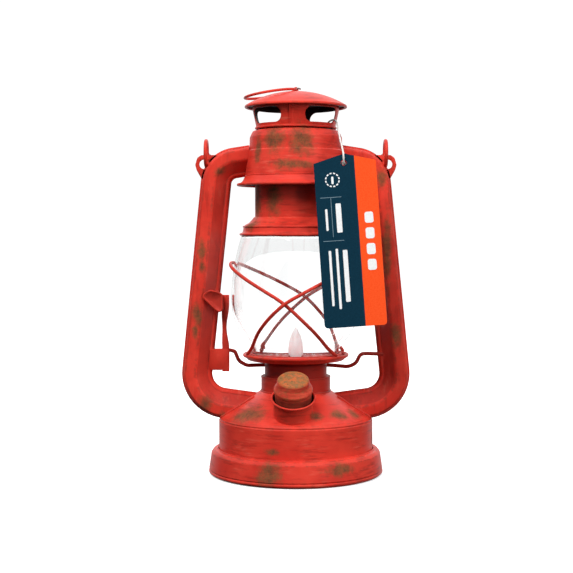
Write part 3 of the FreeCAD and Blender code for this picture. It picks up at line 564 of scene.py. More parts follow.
def worn_paint(name, streak, grain, darker=0.0):
    """Brushed red enamel over steel: pale dry strokes, dark strokes, worn edges and rust, with painted shade
    on inner faces.
    """
    f = Finish(name)
    cloud = f.noise(34, 3, 0.6)
    red = f.mix(f.step(cloud, 0.32, 0.68), tone(210, 50, 38), tone(232, 66, 50))
    stroke = f.noise(150, 5, 0.65, streak)
    pale = f.sum("MULTIPLY", f.step(stroke, 0.52, 0.72), f.step(f.noise(48, 2), 0.35, 0.75))
    red = f.mix(f.sum("MULTIPLY", pale, 0.6), red, tone(243, 118, 96))
    low = f.sum("MULTIPLY", f.step(f.noise(130, 5, 0.7, streak, (3, 1, 2)), 0.5, 0.3), grain)
    red = f.mix(low, red, tone(128, 30, 24))
    # Darker deepens the whole colour; for the collar and the parts under the plate it is painted shade.
    if darker:
        red = f.mix(darker, red, tone(96, 22, 20))
    edge = f.sum("MULTIPLY", f.field("worn"), f.step(f.noise(210, 4, 0.65, shift=(7, 2, 5)), 0.42, 0.62))
    red = f.mix(f.sum("MULTIPLY", edge, 0.5), red, tone(120, 52, 38))
    mask = rust_mask(f)
    mottle = f.step(f.noise(230, 5, 0.7, shift=(1, 5, 8)), 0.36, 0.64)
    brown = f.mix(mottle, tone(94, 68, 44), tone(134, 84, 52))
    colour = f.mix(mask, red, brown)
    # Painted shade: inner faces, the tubes' slanted inner faces and the thumb tab's dish darken towards brown
    # grey.
    inside = f.field("inside")
    colour = f.mix(f.step(inside, 0.5, 0.9), colour, tone(62, 44, 42))
    rough = f.sum("ADD", f.sum("MULTIPLY_ADD", cloud, 0.22, 0.30), f.sum("MULTIPLY", mask, 0.3))
    height = f.sum("ADD", f.sum("MULTIPLY", stroke, 0.6), f.sum("MULTIPLY", mask, f.noise(1300, 3, 0.7)))
    f.bump(height, 0.00022, 0.55)
    return f.set(Base_Color=colour, Roughness=rough, Specular_IOR_Level=0.42)


def knob_paint(top_centre, axis):
    """Red enamel rubbed through to orange and olive on the knob's flat top, with painted shade in a band next
    to the socket's lip.
    """
    f = Finish("rubbed_knob_paint")
    along_axis = f.add("ShaderNodeVectorMath")
    along_axis.operation = "DOT_PRODUCT"
    f.feed(along_axis.inputs[0], f.vector("SUBTRACT", f.place, top_centre))
    along_axis.inputs[1].default_value = axis
    depth = along_axis.outputs["Value"]
    top = f.step(depth, -0.0013, -0.0004)
    # Painted shade: a band low on the knob, beside the socket's lip.
    foot = f.step(depth, -0.0094, -0.0108)
    stroke = f.noise(190, 5, 0.65, (0.25, 1, 2.4))
    red = f.mix(f.step(stroke, 0.35, 0.65), tone(190, 52, 38), tone(232, 84, 62))
    red = f.mix(f.sum("MULTIPLY", f.step(f.noise(260, 4), 0.5, 0.64), 0.35), red, tone(132, 78, 50))
    lip_shade_red = f.mix(f.step(stroke, 0.35, 0.65), tone(124, 40, 32), tone(158, 58, 44))
    worn = f.mix(f.step(f.noise(330, 4, 0.7), 0.4, 0.6), tone(196, 98, 48), tone(134, 98, 56))
    worn = f.mix(f.step(f.noise(520, 3, 0.7, shift=(3, 3, 3)), 0.56, 0.66), worn, tone(92, 74, 46))
    # Painted shade laid over that band.
    colour = f.mix(foot, red, lip_shade_red)
    colour = f.mix(top, colour, worn)
    edge = f.sum("MULTIPLY", f.field("worn"), f.step(f.noise(420, 3), 0.4, 0.6))
    colour = f.mix(f.sum("MULTIPLY", edge, 0.6), colour, tone(150, 100, 60))
    f.bump(f.sum("ADD", stroke, f.noise(1500, 3)), 0.0002, 0.5)
    return f.set(Base_Color=colour, Roughness=f.sum("MULTIPLY_ADD", stroke, 0.25, 0.35))


def glass():
    f = Finish("clear_globe_glass")
    f.bump(f.noise(26, 2, 0.4, (1, 1, 0.4)), 0.0004, 0.12)
    return f.set(Base_Color=(0.985, 0.99, 0.99, 1), Roughness=0.015, IOR=1.46, Transmission_Weight=1.0)


def flame_plastic():
    f = Finish("milky_flame_plastic")
    _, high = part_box("flame_diffuser")
    rise = f.add("ShaderNodeSeparateXYZ")
    f.feed(rise.inputs[0], f.place)
    tip = f.step(rise.outputs["Z"], high.z - 0.012, high.z)
    colour = f.mix(tip, tone(232, 220, 220), tone(246, 240, 240))
    colour = f.mix(f.step(f.noise(160, 3), 0.35, 0.65), colour, tone(226, 208, 208))
    f.bump(f.noise(700, 2), 0.0001, 0.3)
    return f.set(Base_Color=colour, Roughness=0.45, Subsurface_Weight=0.5, Subsurface_Scale=1.0,
                 Subsurface_Radius=(0.004, 0.003, 0.003), Emission_Color=(1.0, 0.94, 0.94, 1.0),
                 Emission_Strength=0.32)


def plain(name, dark, pale, scale, rough=0.5, metal=0.0, depth=0.0001, stretch=(1, 1, 1)):
    """An even finish with fine mottling: colour, roughness and relief from one noise."""
    f = Finish(name)
    speck = f.noise(scale, 4, 0.6, stretch)
    colour = f.mix(f.step(speck, 0.3, 0.7), dark, pale)
    f.bump(speck, depth, 0.5)
    return f.set(Base_Color=colour, Roughness=f.sum("MULTIPLY_ADD", speck, 0.2, rough - 0.1), Metallic=metal)


def card():
    """Printed card: dark blue, with an orange band up its right side, read from its own UV."""
    f = Finish("printed_card")
    uv = f.add("ShaderNodeUVMap")
    split = f.add("ShaderNodeSeparateXYZ")
    f.feed(split.inputs[0], uv.outputs["UV"])
    fibre = f.noise(1400, 3, 0.7)
    navy = f.mix(f.step(fibre, 0.3, 0.7), tone(11, 44, 60), tone(16, 53, 71))
    orange = f.mix(f.step(fibre, 0.3, 0.7), tone(250, 78, 28), tone(255, 92, 42))
    colour = f.mix(f.step(split.outputs["X"], 0.655, 0.658), navy, orange)
    bare = f.step(f.field("worn"), 0.6, 0.9)
    colour = f.mix(bare, colour, tone(226, 222, 214))
    f.bump(fibre, 0.00004, 0.4)
    rough = f.sum("MULTIPLY_ADD", fibre, 0.15, 0.5)
    return f.set(Base_Color=colour, Roughness=rough, Specular_IOR_Level=0.12)


def thread():
    """White cotton thread: fine slanting twist."""
    f = Finish("white_thread")
    wave = f.add("ShaderNodeTexWave")
    f.feed(wave.inputs["Vector"], f.vector("MULTIPLY", f.place, (1, 0.6, 1.4)))
    wave.inputs["Scale"].default_value = 420
    wave.inputs["Distortion"].default_value = 1.2
    colour = f.mix(wave.outputs["Fac"], tone(206, 202, 196), tone(250, 248, 244))
    f.bump(wave.outputs["Fac"], 0.00012, 0.7)
    return f.set(Base_Color=colour, Roughness=0.9, Sheen_Weight=0.3)


turned_red = worn_paint("brushed_red_paint", (0.35, 0.35, 2.6), 0.5)
tube_red = worn_paint("tube_red_paint", (1.6, 1.2, 0.35), 0.4)
wire_red = worn_paint("wire_red_paint", (1, 1, 1), 0.3, 0.12)
# Painted shade: darker copies of the red for the parts under the plate, the tank floor and the collar.
shaded_red = worn_paint("dark_red_paint", (0.5, 0.5, 2.0), 0.6, 0.62)
shaded_collar_red = worn_paint("collar_paint_painted_shade", (0.35, 0.35, 2.2), 0.5, 0.45)
black_metal = plain("black_inside", tone(30, 27, 26), tone(52, 46, 44), 300, 0.7)
black_plastic = plain("black_plastic", tone(30, 30, 31), tone(44, 44, 45), 900, 0.5)
board_green = plain("green_board", tone(18, 82, 44), tone(28, 104, 60), 500, 0.45)
steel = plain("bright_steel", tone(168, 168, 166), tone(206, 206, 204), 700, 0.3, 1.0, stretch=(1, 1, 4))
jacket = plain("cell_jacket", tone(40, 44, 52), tone(62, 68, 78), 400, 0.3)
white_ink = plain("white_ink", tone(236, 238, 238), tone(250, 250, 250), 1500, 0.5, depth=0.00002)
grey_ink = plain("grey_ink", tone(108, 134, 148), tone(122, 148, 160), 1500, 0.5, depth=0.00002)
floor_white = plain("studio_floor", (0.80, 0.80, 0.80, 1), (0.82, 0.82, 0.82, 1), 20, 0.9)
floor_shader = floor_white.node_tree.nodes["Principled BSDF"]
floor_shader.inputs["Emission Color"].default_value = (1, 1, 1, 1)
floor_shader.inputs["Emission Strength"].default_value = 0.62
floor_shader.inputs["Specular IOR Level"].default_value = 0.0


# Tag and its string ---------------------------------------------------------------------------

# The string's route, in metres, from the vent slot to the knot behind the card.
STRING_ROUTE = [
    (0.0175, -0.0075, 0.2160),
    (0.0200, -0.0088, 0.2210),
    (0.0250, -0.0122, 0.2216),
    (0.0260, -0.0180, 0.2148),
    (0.0268, -0.0257, 0.2085),
    (0.0276, -0.0330, 0.2040),
    (0.0283, -0.0390, 0.1993),
    (0.02845, -0.0397, 0.1954),
    (0.02856, -0.0379, 0.19345),
]
STRING_THICK = 0.0011

TAG_FOOT = np.array((17.2, -47.1, 94.9))
TAG_LEAN = math.radians(3.9)
TAG_TIP = math.radians(5.2)
TAG_WIDE = 37.2
TAG_HIGH = 98.5
TAG_GABLE = 5.1
TAG_GAUGE = 0.5
HOLE_SHARE = 0.485
HOLE_R = 1.75

TAG_ACROSS = np.array((math.cos(TAG_LEAN), 0, math.sin(TAG_LEAN)))
TAG_UP = (np.array((-math.sin(TAG_LEAN), 0, math.cos(TAG_LEAN))) * math.cos(TAG_TIP)
          + np.array((0, math.sin(TAG_TIP), 0)))
TAG_FACE = np.cross(TAG_ACROSS, TAG_UP)


def on_tag(across, up, front):
    """Points of the card's own frame, front being towards its printed face."""
    across, up, front = (np.asarray(v, float)[..., None] for v in (across, up, front))
    return TAG_FOOT + TAG_ACROSS * across + TAG_UP * up + TAG_FACE * front


def make_string():
    data = bpy.data.curves.new("tag_string_thread", "CURVE")
    data.dimensions = "3D"
    data.resolution_u = 16
    data.bevel_depth = STRING_THICK / 2
    data.bevel_resolution = 4
    data.use_fill_caps = True
    line = data.splines.new("NURBS")
    line.points.add(len(STRING_ROUTE) - 1)
    for point, place in zip(line.points, STRING_ROUTE):
        point.co = (*place, 1.0)
    line.order_u = 3
    line.use_endpoint_u = True
    data.materials.append(thread())
    string = bpy.data.objects.new("tag_string_thread", data)
    bpy.context.scene.collection.objects.link(string)
    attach(string, "hood")
    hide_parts("tag_string")
    return string


def make_knot():
    """A small overhand knot: the trefoil (sin t + 2 sin 2t, cos t - 2 cos 2t, -sin 3t), and one end."""
    low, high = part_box("string_knot")
    centre = np.array((low + high) / 2) / MM
    t = np.linspace(0, TURN, 96, endpoint=False)
    knot = np.stack([np.sin(t) + 2 * np.sin(2 * t), np.cos(t) - 2 * np.cos(2 * t), -np.sin(3 * t)], 1)
    knot = knot * np.array((0.42, 0.42, 0.62)) + centre
    share = np.linspace(0, 1, 8)
    end = np.stack([0.7 * share, 1.4 * share, -0.6 * share**2], 1) + centre
    surfaces = [
        Surface(wire(knot, 0.52, closed=True, steps=10), True, True),
        Surface(wire(end, 0.5, steps=10), False, True),
    ]
    return piece("string_knot_tied", surfaces, "hood", thread(), ["string_knot"])


def make_tag():
    """Card of straight sides, round foot corners and a gable, drawn as rays out from its hole."""
    peak = (TAG_WIDE / 2, TAG_HIGH + TAG_GABLE)
    corners = [(0, 0), (TAG_WIDE, 0), (TAG_WIDE, TAG_HIGH), peak, (0, TAG_HIGH)]
    line, _ = rounded(corners, [2.2, 2.2, 0.5, 0.5, 0.5], closed=True)
    line = along(np.concatenate([line, line[:1]]), 0.9)[:-1]
    hole = np.array((TAG_WIDE * HOLE_SHARE, TAG_HIGH - 0.5))
    way = line - hole
    rim = hole + way / np.linalg.norm(way, axis=1, keepdims=True) * HOLE_R
    share = np.linspace(0, 1, 26)[:, None, None]
    face = rim[None] * (1 - share) + line[None] * share

    def layer(depth):
        bow = 0.5 * np.sin(math.pi * face[..., 1] / TAG_HIGH) * (face[..., 0] / TAG_WIDE - 0.5)
        return on_tag(face[..., 0], face[..., 1], bow * 0.6 + depth)

    half = TAG_GAUGE / 2
    front, back = layer(half - 0.05), layer(-half + 0.05)
    grid = np.concatenate([front, back[::-1]])
    uv = np.concatenate([face, face[::-1]]) / np.array((TAG_WIDE, TAG_HIGH))
    return piece("hang_tag_card", Surface(grid, True, True, None, None, uv), "hood", card(),
                 ["hang_tag"], sharp=40)


PRINT_FRONT = 0.28
PRINT_THICK = 0.05


def bar(u, v, wide, high, round_to=0.3):
    """A thin printed bar: a rounded rectangle of the card's frame, closed front to back."""
    corners = [(u, v), (u + wide, v), (u + wide, v + high), (u, v + high)]
    line, _ = rounded(corners, round_to, closed=True, steps=4)
    middle = line.mean(0)
    rings = [np.repeat(middle[None], len(line), 0), line, line, np.repeat(middle[None], len(line), 0)]
    depth = [PRINT_FRONT, PRINT_FRONT, PRINT_FRONT - PRINT_THICK, PRINT_FRONT - PRINT_THICK]
    rows = []
    for ring, d in zip(rings, depth):
        bow = 0.3 * np.sin(math.pi * ring[:, 1] / TAG_HIGH) * (ring[:, 0] / TAG_WIDE - 0.5)
        rows.append(on_tag(ring[:, 0], ring[:, 1], bow + d))
    return Surface(np.stack(rows), False, True)


def arc_band(u, v, inner, outer, start, end):
    """A thin printed arc: radius from inner to outer, angle from start to end in turns."""
    angle = np.linspace(start, end, 40) * TURN
    back = PRINT_FRONT - PRINT_THICK
    section = [(inner, PRINT_FRONT), (outer, PRINT_FRONT), (outer, back), (inner, back)]
    rows = [on_tag(u + r * np.cos(angle), v + r * np.sin(angle), np.full(40, d)) for r, d in section]
    return Surface(np.stack(rows), True, abs(end - start) >= 1)


def make_print():
    """Plain printed marks: two rules, a ring with a drop in it, and rows of plain bars."""
    rules = [bar(2.6, 77.6, 12.6, 0.35), bar(8.7, 54.0, 0.35, 24.0), bar(2.6, 51.6, 12.6, 0.35)]
    piece("tag_rules", rules, "hood", grey_ink, sharp=40)
    marks = [arc_band(10.6, 88.2, 3.6, 4.4, k / 12 + 0.008, (k + 0.62) / 12 + 0.008) for k in range(12)]
    marks += [bar(9.9, 85.6, 1.4, 4.6, round_to=0.65)]
    for u, v, wide, high in ((11.4, 56.5, 3.2, 17.5), (5.0, 58.0, 1.4, 13.0), (13.8, 15.0, 2.8, 31.0),
                             (9.6, 11.0, 1.5, 36.0), (5.4, 13.0, 1.5, 33.0)):
        marks.append(bar(u, v, wide, high, round_to=0.6))
    marks += [bar(28.2, 33 + 9.4 * k, 5.2, 6.6, round_to=1.4) for k in range(4)]
    piece("tag_marks", marks, "hood", white_ink, sharp=40)


def make_cord():
    string = make_string()
    knot = make_knot()
    make_tag()
    make_print()


make_camera()
make_light()
make_cord()


# Tank, base and burner ------------------------------------------------------------------------

WALL_TOP = 34.2
SHOULDER_R = COLLAR_R + 0.5
CREASE_IN = 1.3
CREASE_UP = 2.3


def shoulder_height(radius):
    """Height of the tank's cone at a radius: straight from the crease to the collar."""
    share = (radius - TANK_R + CREASE_IN) / (SHOULDER_R - TANK_R + CREASE_IN)
    return WALL_TOP + CREASE_UP + (TANK_TOP - WALL_TOP - CREASE_UP) * share


def make_tank():
    wall = spun(
        [(TANK_R, TANK_LOW), (TANK_R, WALL_TOP - 0.3), (TANK_R - 0.55, WALL_TOP + 0.35),
         (TANK_R - 0.3, WALL_TOP + 1.0), (TANK_R - CREASE_IN, WALL_TOP + CREASE_UP), (SHOULDER_R, TANK_TOP)],
        [0, 0.5, 0.4, 0.5, 1.6, 0], steps=256)
    piece("tank_shell", wall, "frame", turned_red, ["tank"])
    foot = SKIRT_R - 1.0
    shoulder = SKIRT_R - 1.7
    skirt = spun(
        [(foot - 2.6, 0.3), (foot - 0.3, 0.3), (SKIRT_R, 1.5), (SKIRT_R - 0.05, 2.5), (SKIRT_R - 0.75, 3.0),
         (SKIRT_R - 0.2, 3.6), (shoulder, SKIRT_TOP - 2.7), (shoulder - 1.6, SKIRT_TOP - 0.6),
         (TANK_R + 0.65, SKIRT_TOP - 0.3)],
        [0, 0.8, 0.8, 0.4, 0.3, 0.5, 2.2, 1.6, 0], steps=256)
    lip = bead(TANK_R + 0.75, SKIRT_TOP - 0.35, 0.45, 256)
    roll = bead(foot - 1.4, 0.7, 0.68, 256)
    piece("base_skirt_shell", [skirt, lip, roll], "frame", turned_red, ["base_skirt"])


def make_mitres():
    """Raised seams where the lower arms meet the shoulder: a wire laid on the cone, front and back."""
    seams = []
    for side in (-1, 1):
        for face in (-1, 1):
            along_x = np.linspace(26.5, 46.6, 24)
            off = 7.3 + 2.2 * np.sin(np.linspace(0.15, 1.0, 24) * math.pi / 2)
            height = shoulder_height(np.hypot(along_x, off))
            path = np.stack([side * along_x, face * off, height + 0.25], 1)
            ridge = wire(path, 0.75, steps=10)
            seams.append(Surface(ridge, False, True, np.full(len(ridge), 0.8)))
    piece("arm_seams", seams, "frame", wire_red)


def make_collar():
    collar = spun(
        [(COLLAR_R, COLLAR_LOW), (COLLAR_R, COLLAR_TOP - 0.9), (COLLAR_R - 0.9, COLLAR_TOP),
         (GALLERY_R - 1.4, COLLAR_TOP)],
        [0, 0.4, 0.5, 0])
    foot = bead(COLLAR_R + 0.1, shoulder_height(COLLAR_R + 0.6) + 0.2, 0.6)
    lip = bead(COLLAR_R - 0.25, COLLAR_TOP - 0.3, 0.5)
    # The collar takes the red darkened as painted shade.
    piece("burner_collar_sleeve", [collar, foot, lip], "frame", shaded_collar_red, ["burner_collar"])


def make_flame():
    """A drop: straight foot, fullest at a third, drawn in to a rounded tip."""
    rise = FLAME_TOP - FLAME_LOW
    t = np.linspace(0, 1, 60)
    radius = FLAME_R * np.sin(math.pi * np.clip(0.30 + 0.70 * t, 0, 1)) ** 0.8
    radius = radius * (1 - 0.18 * np.exp(-((t - 0.0) / 0.12) ** 2))
    outer = np.stack([radius, FLAME_LOW + rise * t], 1)
    outer[-1, 0] = 0
    inner_t = np.linspace(0.62, 0, 30)
    inner = np.stack([np.interp(inner_t, t, radius) - 1.1, FLAME_LOW + rise * inner_t], 1)
    inner[0, 0] = 0
    loop = np.concatenate([outer[::-1], inner[::-1]])
    piece("flame_drop", Surface(spin(loop, 96), False, True), "frame", flame_plastic(),
          ["flame_diffuser"])


# Globe carrier --------------------------------------------------------------------------------

GLOBE_WIDEST = 110.0
GLOBE_FOOT_R = 27.0
GLOBE_FOOT_TOP = 79.0
GLOBE_MOUTH_R = 34.5
GLASS_WALL = 1.6


def globe_outer(height):
    """Radius of the glass at a height: two arcs that are upright where the globe is widest."""
    height = np.asarray(height, float)
    out = np.zeros_like(height)
    for below, end in ((True, (GLOBE_FOOT_R, GLOBE_FOOT_TOP)), (False, (GLOBE_MOUTH_R, GLOBE_TOP))):
        rise = GLOBE_WIDEST - end[1]
        inset = GLOBE_R - end[0]
        arc = (inset**2 + rise**2) / (2 * inset)
        away = np.clip(np.abs(height - GLOBE_WIDEST), 0, arc)
        value = GLOBE_R - arc + np.sqrt(arc**2 - away**2)
        out = np.where((height < GLOBE_WIDEST) == below, value, out)
    return np.maximum(out, GLOBE_FOOT_R)


def make_globe():
    height = np.concatenate([np.linspace(GLOBE_LOW, GLOBE_FOOT_TOP, 8),
                             np.linspace(GLOBE_FOOT_TOP, GLOBE_TOP + 1.2, 76)[1:]])
    line = np.stack([smoothed(globe_outer(height), 6), height], 1)
    normal = normals_2d(line)
    inner = line - normal * GLASS_WALL
    angle = np.linspace(0, math.pi, 8)[1:-1, None]

    def edge(end, across, way):
        middle = (line[end] + inner[end]) / 2
        return middle + (across * np.cos(angle) + way * np.sin(angle)) * GLASS_WALL / 2

    top = edge(-1, normal[-1], np.array((0, 1.0)))
    foot = edge(0, -normal[0], np.array((0, -1.0)))
    top[:, 1] -= 0.4
    loop = np.concatenate([line, top, inner[::-1], foot])
    shell = Surface(spin(loop, 224), True, True)
    piece("globe_glass", shell, "globe_carrier", glass(), ["globe"])


GUARD_TURN = -9.0
GUARD_SPAN = 149.0
GUARD_QUARTER = 90
GUARD_TOP = 132.8
GUARD_CROSS = 109.5
GUARD_CLEAR = 2.3
GUARD_FOOT = 76.4
GUARD_SMOOTHING = 40
GUARD_CROSSING = 2.7
GUARD_REACH = 22
GUARD_R = 1.1


def guard_path(side):
    """Height falls from a crest to the crossing, then eases to the foot; radius keeps 2.3 off the glass."""
    away = GUARD_SPAN * np.linspace(-1, 1, 181)
    share = np.abs(away) / GUARD_QUARTER
    left = np.clip((GUARD_SPAN - np.abs(away)) / (GUARD_SPAN - GUARD_QUARTER), 0, 1)
    crest = GUARD_TOP + (GUARD_CROSS - GUARD_TOP) * share**1.75
    height = np.where(share < 1, crest, GUARD_FOOT + (GUARD_CROSS - GUARD_FOOT) * left**1.35)
    radius = np.maximum(globe_outer(height) + GUARD_CLEAR, PLATE_R - 1.0)
    radius = smoothed(radius, GUARD_SMOOTHING)
    height = smoothed(height, GUARD_SMOOTHING // 2)
    azimuth = np.radians(GUARD_TURN + side * 90 + away)
    path = np.stack([radius * np.sin(azimuth), -radius * np.cos(azimuth), height], 1)
    if side > 0:
        from_front = np.abs(np.degrees(np.arctan2(path[:, 0], -path[:, 1])) - GUARD_TURN)
        push = np.exp(-((from_front / GUARD_REACH) ** 2)) + np.exp(-(((180 - from_front) / GUARD_REACH) ** 2))
        flat = path[:, :2] / np.linalg.norm(path[:, :2], axis=1, keepdims=True)
        path[:, :2] += flat * (GUARD_CROSSING * push)[:, None]
    return path


def make_guards():
    for side, node in ((-1, "guard_wire_left"), (1, "guard_wire_right")):
        grid = wire(guard_path(side), GUARD_R, steps=14)
        guard = Surface(grid, False, True, np.full(len(grid), 0.35))
        piece(node + "_bent", guard, "globe_carrier", wire_red, [node])


CROSSBAR_HIGH = 67.4
CROSSBAR_BACK = 8.0
CROSSBAR_R = 1.2
CROSSBAR = [
    (-41.5, 0, 77.6), (-38.4, 0.2, 76.8), (-36.0, 0.9, 70.6), (-31.0, 2.6, CROSSBAR_HIGH + 0.2),
    (-20.5, CROSSBAR_BACK, CROSSBAR_HIGH), (20.5, CROSSBAR_BACK, CROSSBAR_HIGH),
    (33.5, 1.2, CROSSBAR_HIGH - 0.4), (38.0, 0.3, 69.4), (41.0, 0, 75.4), (46.0, 0, 75.5),
    (55.0, 0, 75.2),
]
CROSSBAR_BENDS = [0, 2.0, 6.0, 7.0, 20, 20, 9.0, 5.0, 3.5, 8.0, 0]


def make_crossbar():
    path, _ = rounded(CROSSBAR, CROSSBAR_BENDS, steps=10)
    path = along(path, 1.5)
    grid = wire(path, CROSSBAR_R, steps=14)
    # The crossbar under the plate takes the red darkened as painted shade.
    piece("globe_crossbar_bent", Surface(grid, False, True, np.full(len(grid), 0.3)), "globe_carrier",
          shaded_red, ["globe_crossbar"])


PLATE_FLOOR = 74.2
# Rings of raised dimples: radius of the ring, how many, and the half width of each.
DIMPLES = ((10.0, 10, 1.9), (14.8, 15, 1.9), (19.5, 20, 1.9), (23.7, 24, 1.7))


def make_plate():
    """The plate's rolled rim, dished floor with raised dimples, the pan under the rim and the inner ring."""
    floor_top = PLATE_FLOOR
    steps, rings = 360, 130
    radius = np.linspace(5.4, PLATE_R - 1.0, rings)
    angle = np.linspace(0, TURN, steps, endpoint=False)
    grid_r, grid_a = np.meshgrid(radius, angle, indexing="ij")
    lift = np.zeros_like(grid_r)
    for ring_radius, count, size in DIMPLES:
        turn = (grid_a * count / TURN) % 1.0
        sideways = (turn - 0.5) * TURN / count * ring_radius
        near = np.hypot(grid_r - ring_radius, sideways) / size
        lift += 0.75 * np.clip(1 - near**2, 0, 1) ** 1.3
    lift += 0.9 * np.exp(-(((grid_r - 29.2) / 0.7) ** 2))
    lift += 0.5 * np.clip((grid_r - 30.5) / 2.0, 0, 1) ** 2
    x, y = grid_r * np.cos(grid_a), grid_r * np.sin(grid_a)
    top = np.stack([x, y, floor_top - 0.35 + lift * 0.8], 2)
    under = np.stack([x, y, floor_top - 0.8 + lift * 0.35], 2)
    floor = Surface(np.concatenate([top, under[::-1]]), True, True)
    roll = bead(PLATE_R - 1.1, PLATE_TOP - 1.2, 1.1, 256)
    keeper = bead(28.3, floor_top + 1.4, 0.65, 224)
    boss = spun([(16.0, PLATE_LOW), (16.0, floor_top - 0.6)], 0)
    pan_line = [(21.5, floor_top - 2.7), (PLATE_R - 3.4, floor_top - 2.5), (PLATE_R - 0.8, floor_top)]
    pan = spun(pan_line, (0, 1.2, 0))
    piece("globe_plate_dish", [floor, roll, keeper, boss, pan], "globe_carrier", turned_red,
          ["globe_plate"])


def ribbon(path, across, wide, gauge):
    """A flat strip along a path: its section is a rounded rectangle wide along `across`."""
    path = np.asarray(path, float)
    wide = np.broadcast_to(np.asarray(wide, float), len(path))
    tangent = np.gradient(path, axis=0)
    tangent /= np.linalg.norm(tangent, axis=1, keepdims=True)
    side = np.array(across, float)[None] - tangent * (tangent @ np.array(across, float))[:, None]
    side /= np.linalg.norm(side, axis=1, keepdims=True)
    face = np.cross(tangent, side)
    half, thin = wide[:, None] / 2, gauge / 2
    ring = []
    for u, v in ((-1, -0.5), (-1, 0.5), (-0.94, 1), (0.94, 1), (1, 0.5), (1, -0.5), (0.94, -1), (-0.94, -1)):
        ring.append(path + side * (u * half) + face * (v * thin))
    grid = np.stack(ring, 1)
    start = np.repeat(path[:1][:, None], grid.shape[1], 1)
    finish = np.repeat(path[-1:][:, None], grid.shape[1], 1)
    grid = np.concatenate([start, grid, finish])
    worn = np.tile(np.array([1, 1, 0.2, 0.2, 1, 1, 0.2, 0.2]), (len(grid), 1))
    return Surface(grid, False, True, worn)


STRAP_GAUGE = 0.8
MOON_CENTRE = (-51.6, -8.4, 108.3)
MOON_R = 7.4
MOON_CHORD = 2.1
# Share of painted shade in the thumb tab's dish.
MOON_PAINTED_SHADE = 0.64


def make_lift_strap():
    """Strap with a clip round the tube's inner flange, and a dished half-moon thumb tab with painted shade in
    its dish.
    """
    lift = np.linspace(64.3, 112.7, 60)
    belly = 0.9 * np.sin(np.clip((lift - 80) / 26, 0, 1) * math.pi)
    strap_path = np.stack([-44.1 - belly * 0.9, np.full(60, -1.8), lift], 1)
    waist = 4.5 - 1.7 * np.sin(np.clip((lift - 80) / 24, 0, 1) * math.pi) ** 2
    strap = ribbon(strap_path, (1, 0, 0), waist, STRAP_GAUGE)
    clip_line, _ = rounded([(-54.0, -1.9), (-42.3, -1.9), (-42.3, 1.9), (-54.0, 1.9)], [0, 0.9, 0.9, 0])
    clip_path = np.stack([clip_line[:, 0], clip_line[:, 1], np.full(len(clip_line), 71.8)], 1)
    clip = ribbon(clip_path, (0, 0, 1), 13.3, STRAP_GAUGE)
    web_path = np.array([(-46.0, y, MOON_CENTRE[2]) for y in (-1.5, -5.0, -8.0)])
    web = ribbon(web_path, (0, 0, 1), 9.0, STRAP_GAUGE)
    angle = np.linspace(0, TURN, 72, endpoint=False)
    to_chord = MOON_CHORD / np.maximum(np.cos(angle - math.radians(225)), 1e-3)
    rim_r = smoothed(np.minimum(MOON_R, to_chord), 3)
    rim_x = np.minimum(rim_r * np.cos(angle), 5.6)
    rim_z = rim_r * np.sin(angle) * np.where(np.cos(angle) > 0, 0.92, 1.0)
    share = np.linspace(0, 1, 12)[:, None]
    dish = 1.9 * (1 - share**2)
    x = MOON_CENTRE[0] + rim_x * share
    z = MOON_CENTRE[2] + rim_z * share
    front = np.stack([x, MOON_CENTRE[1] - 0.45 + dish + 0 * x, z], 2)
    back = np.stack([x, MOON_CENTRE[1] + 0.25 + dish + 0 * x, z], 2)
    # Painted shade over the dish's front face.
    shade = np.concatenate([np.full(11, MOON_PAINTED_SHADE), np.zeros(13)])
    moon = Surface(np.concatenate([front, back[::-1]]), False, True, inside=shade)
    edge_y = np.full(72, MOON_CENTRE[1] - 0.1)
    edge_path = np.stack([MOON_CENTRE[0] + rim_x, edge_y, MOON_CENTRE[2] + rim_z], 1)
    edge = wire(edge_path, 0.6, closed=True, steps=8)
    rim = Surface(edge, True, True, np.full(len(edge), 0.8))
    parts = [strap, clip, web, moon, rim]
    piece("lift_strap_bent", parts, "globe_carrier", wire_red, ["lift_strap"])


# Side tubes -----------------------------------------------------------------------------------

TUBE_ROUTE = [(-27.8, 196.9), (-48.8, 193.6), (-63.9, 46.8), (-24.5, 41.3)]
TUBE_BEND = 19.0
TUBE_HALF = 8.2
TUBE_DEPTH = 7.2
TUBE_FLANGE = 1.6
TUBE_GAUGE = 0.5
# Share of painted shade on the tubes' slanted inner faces.
SLANT_PAINTED_SHADE = 0.63


def tube_section(side):
    """Section of one pressed half: flange, round shoulder, flat face, slanted inner face with painted shade,
    flange.
    """
    wide, deep, flange, gauge = TUBE_HALF, TUBE_DEPTH, TUBE_FLANGE, TUBE_GAUGE
    outer = [(wide + flange, -gauge), (wide + 0.1, -gauge), (wide, 1.6 - deep), (wide - 1.2, -deep),
             (0.8, -deep), (2.0 - wide, -gauge), (0.4 - wide - flange, -gauge)]
    line, bends = rounded(outer, [0, 0.5, 1.6, 1.4, 3.2, 0.9, 0], steps=7)
    loop, worn, inside = sheet_loop(line, bends, -gauge)
    slant = np.flatnonzero((line[:, 0] < 0) & (line[:, 0] > 1.5 - wide))
    # Painted shade on the slanted inner face.
    inside[slant] = SLANT_PAINTED_SHADE
    loop[:, 1] = np.minimum(loop[:, 1], -0.02)
    return loop * np.array((1, -side)) if side > 0 else loop, worn, inside


def tube_path():
    line, _ = rounded(TUBE_ROUTE, TUBE_BEND, steps=26)
    line = along(line, 5.0)
    return np.stack([line[:, 0], np.zeros(len(line)), line[:, 1]], 1)


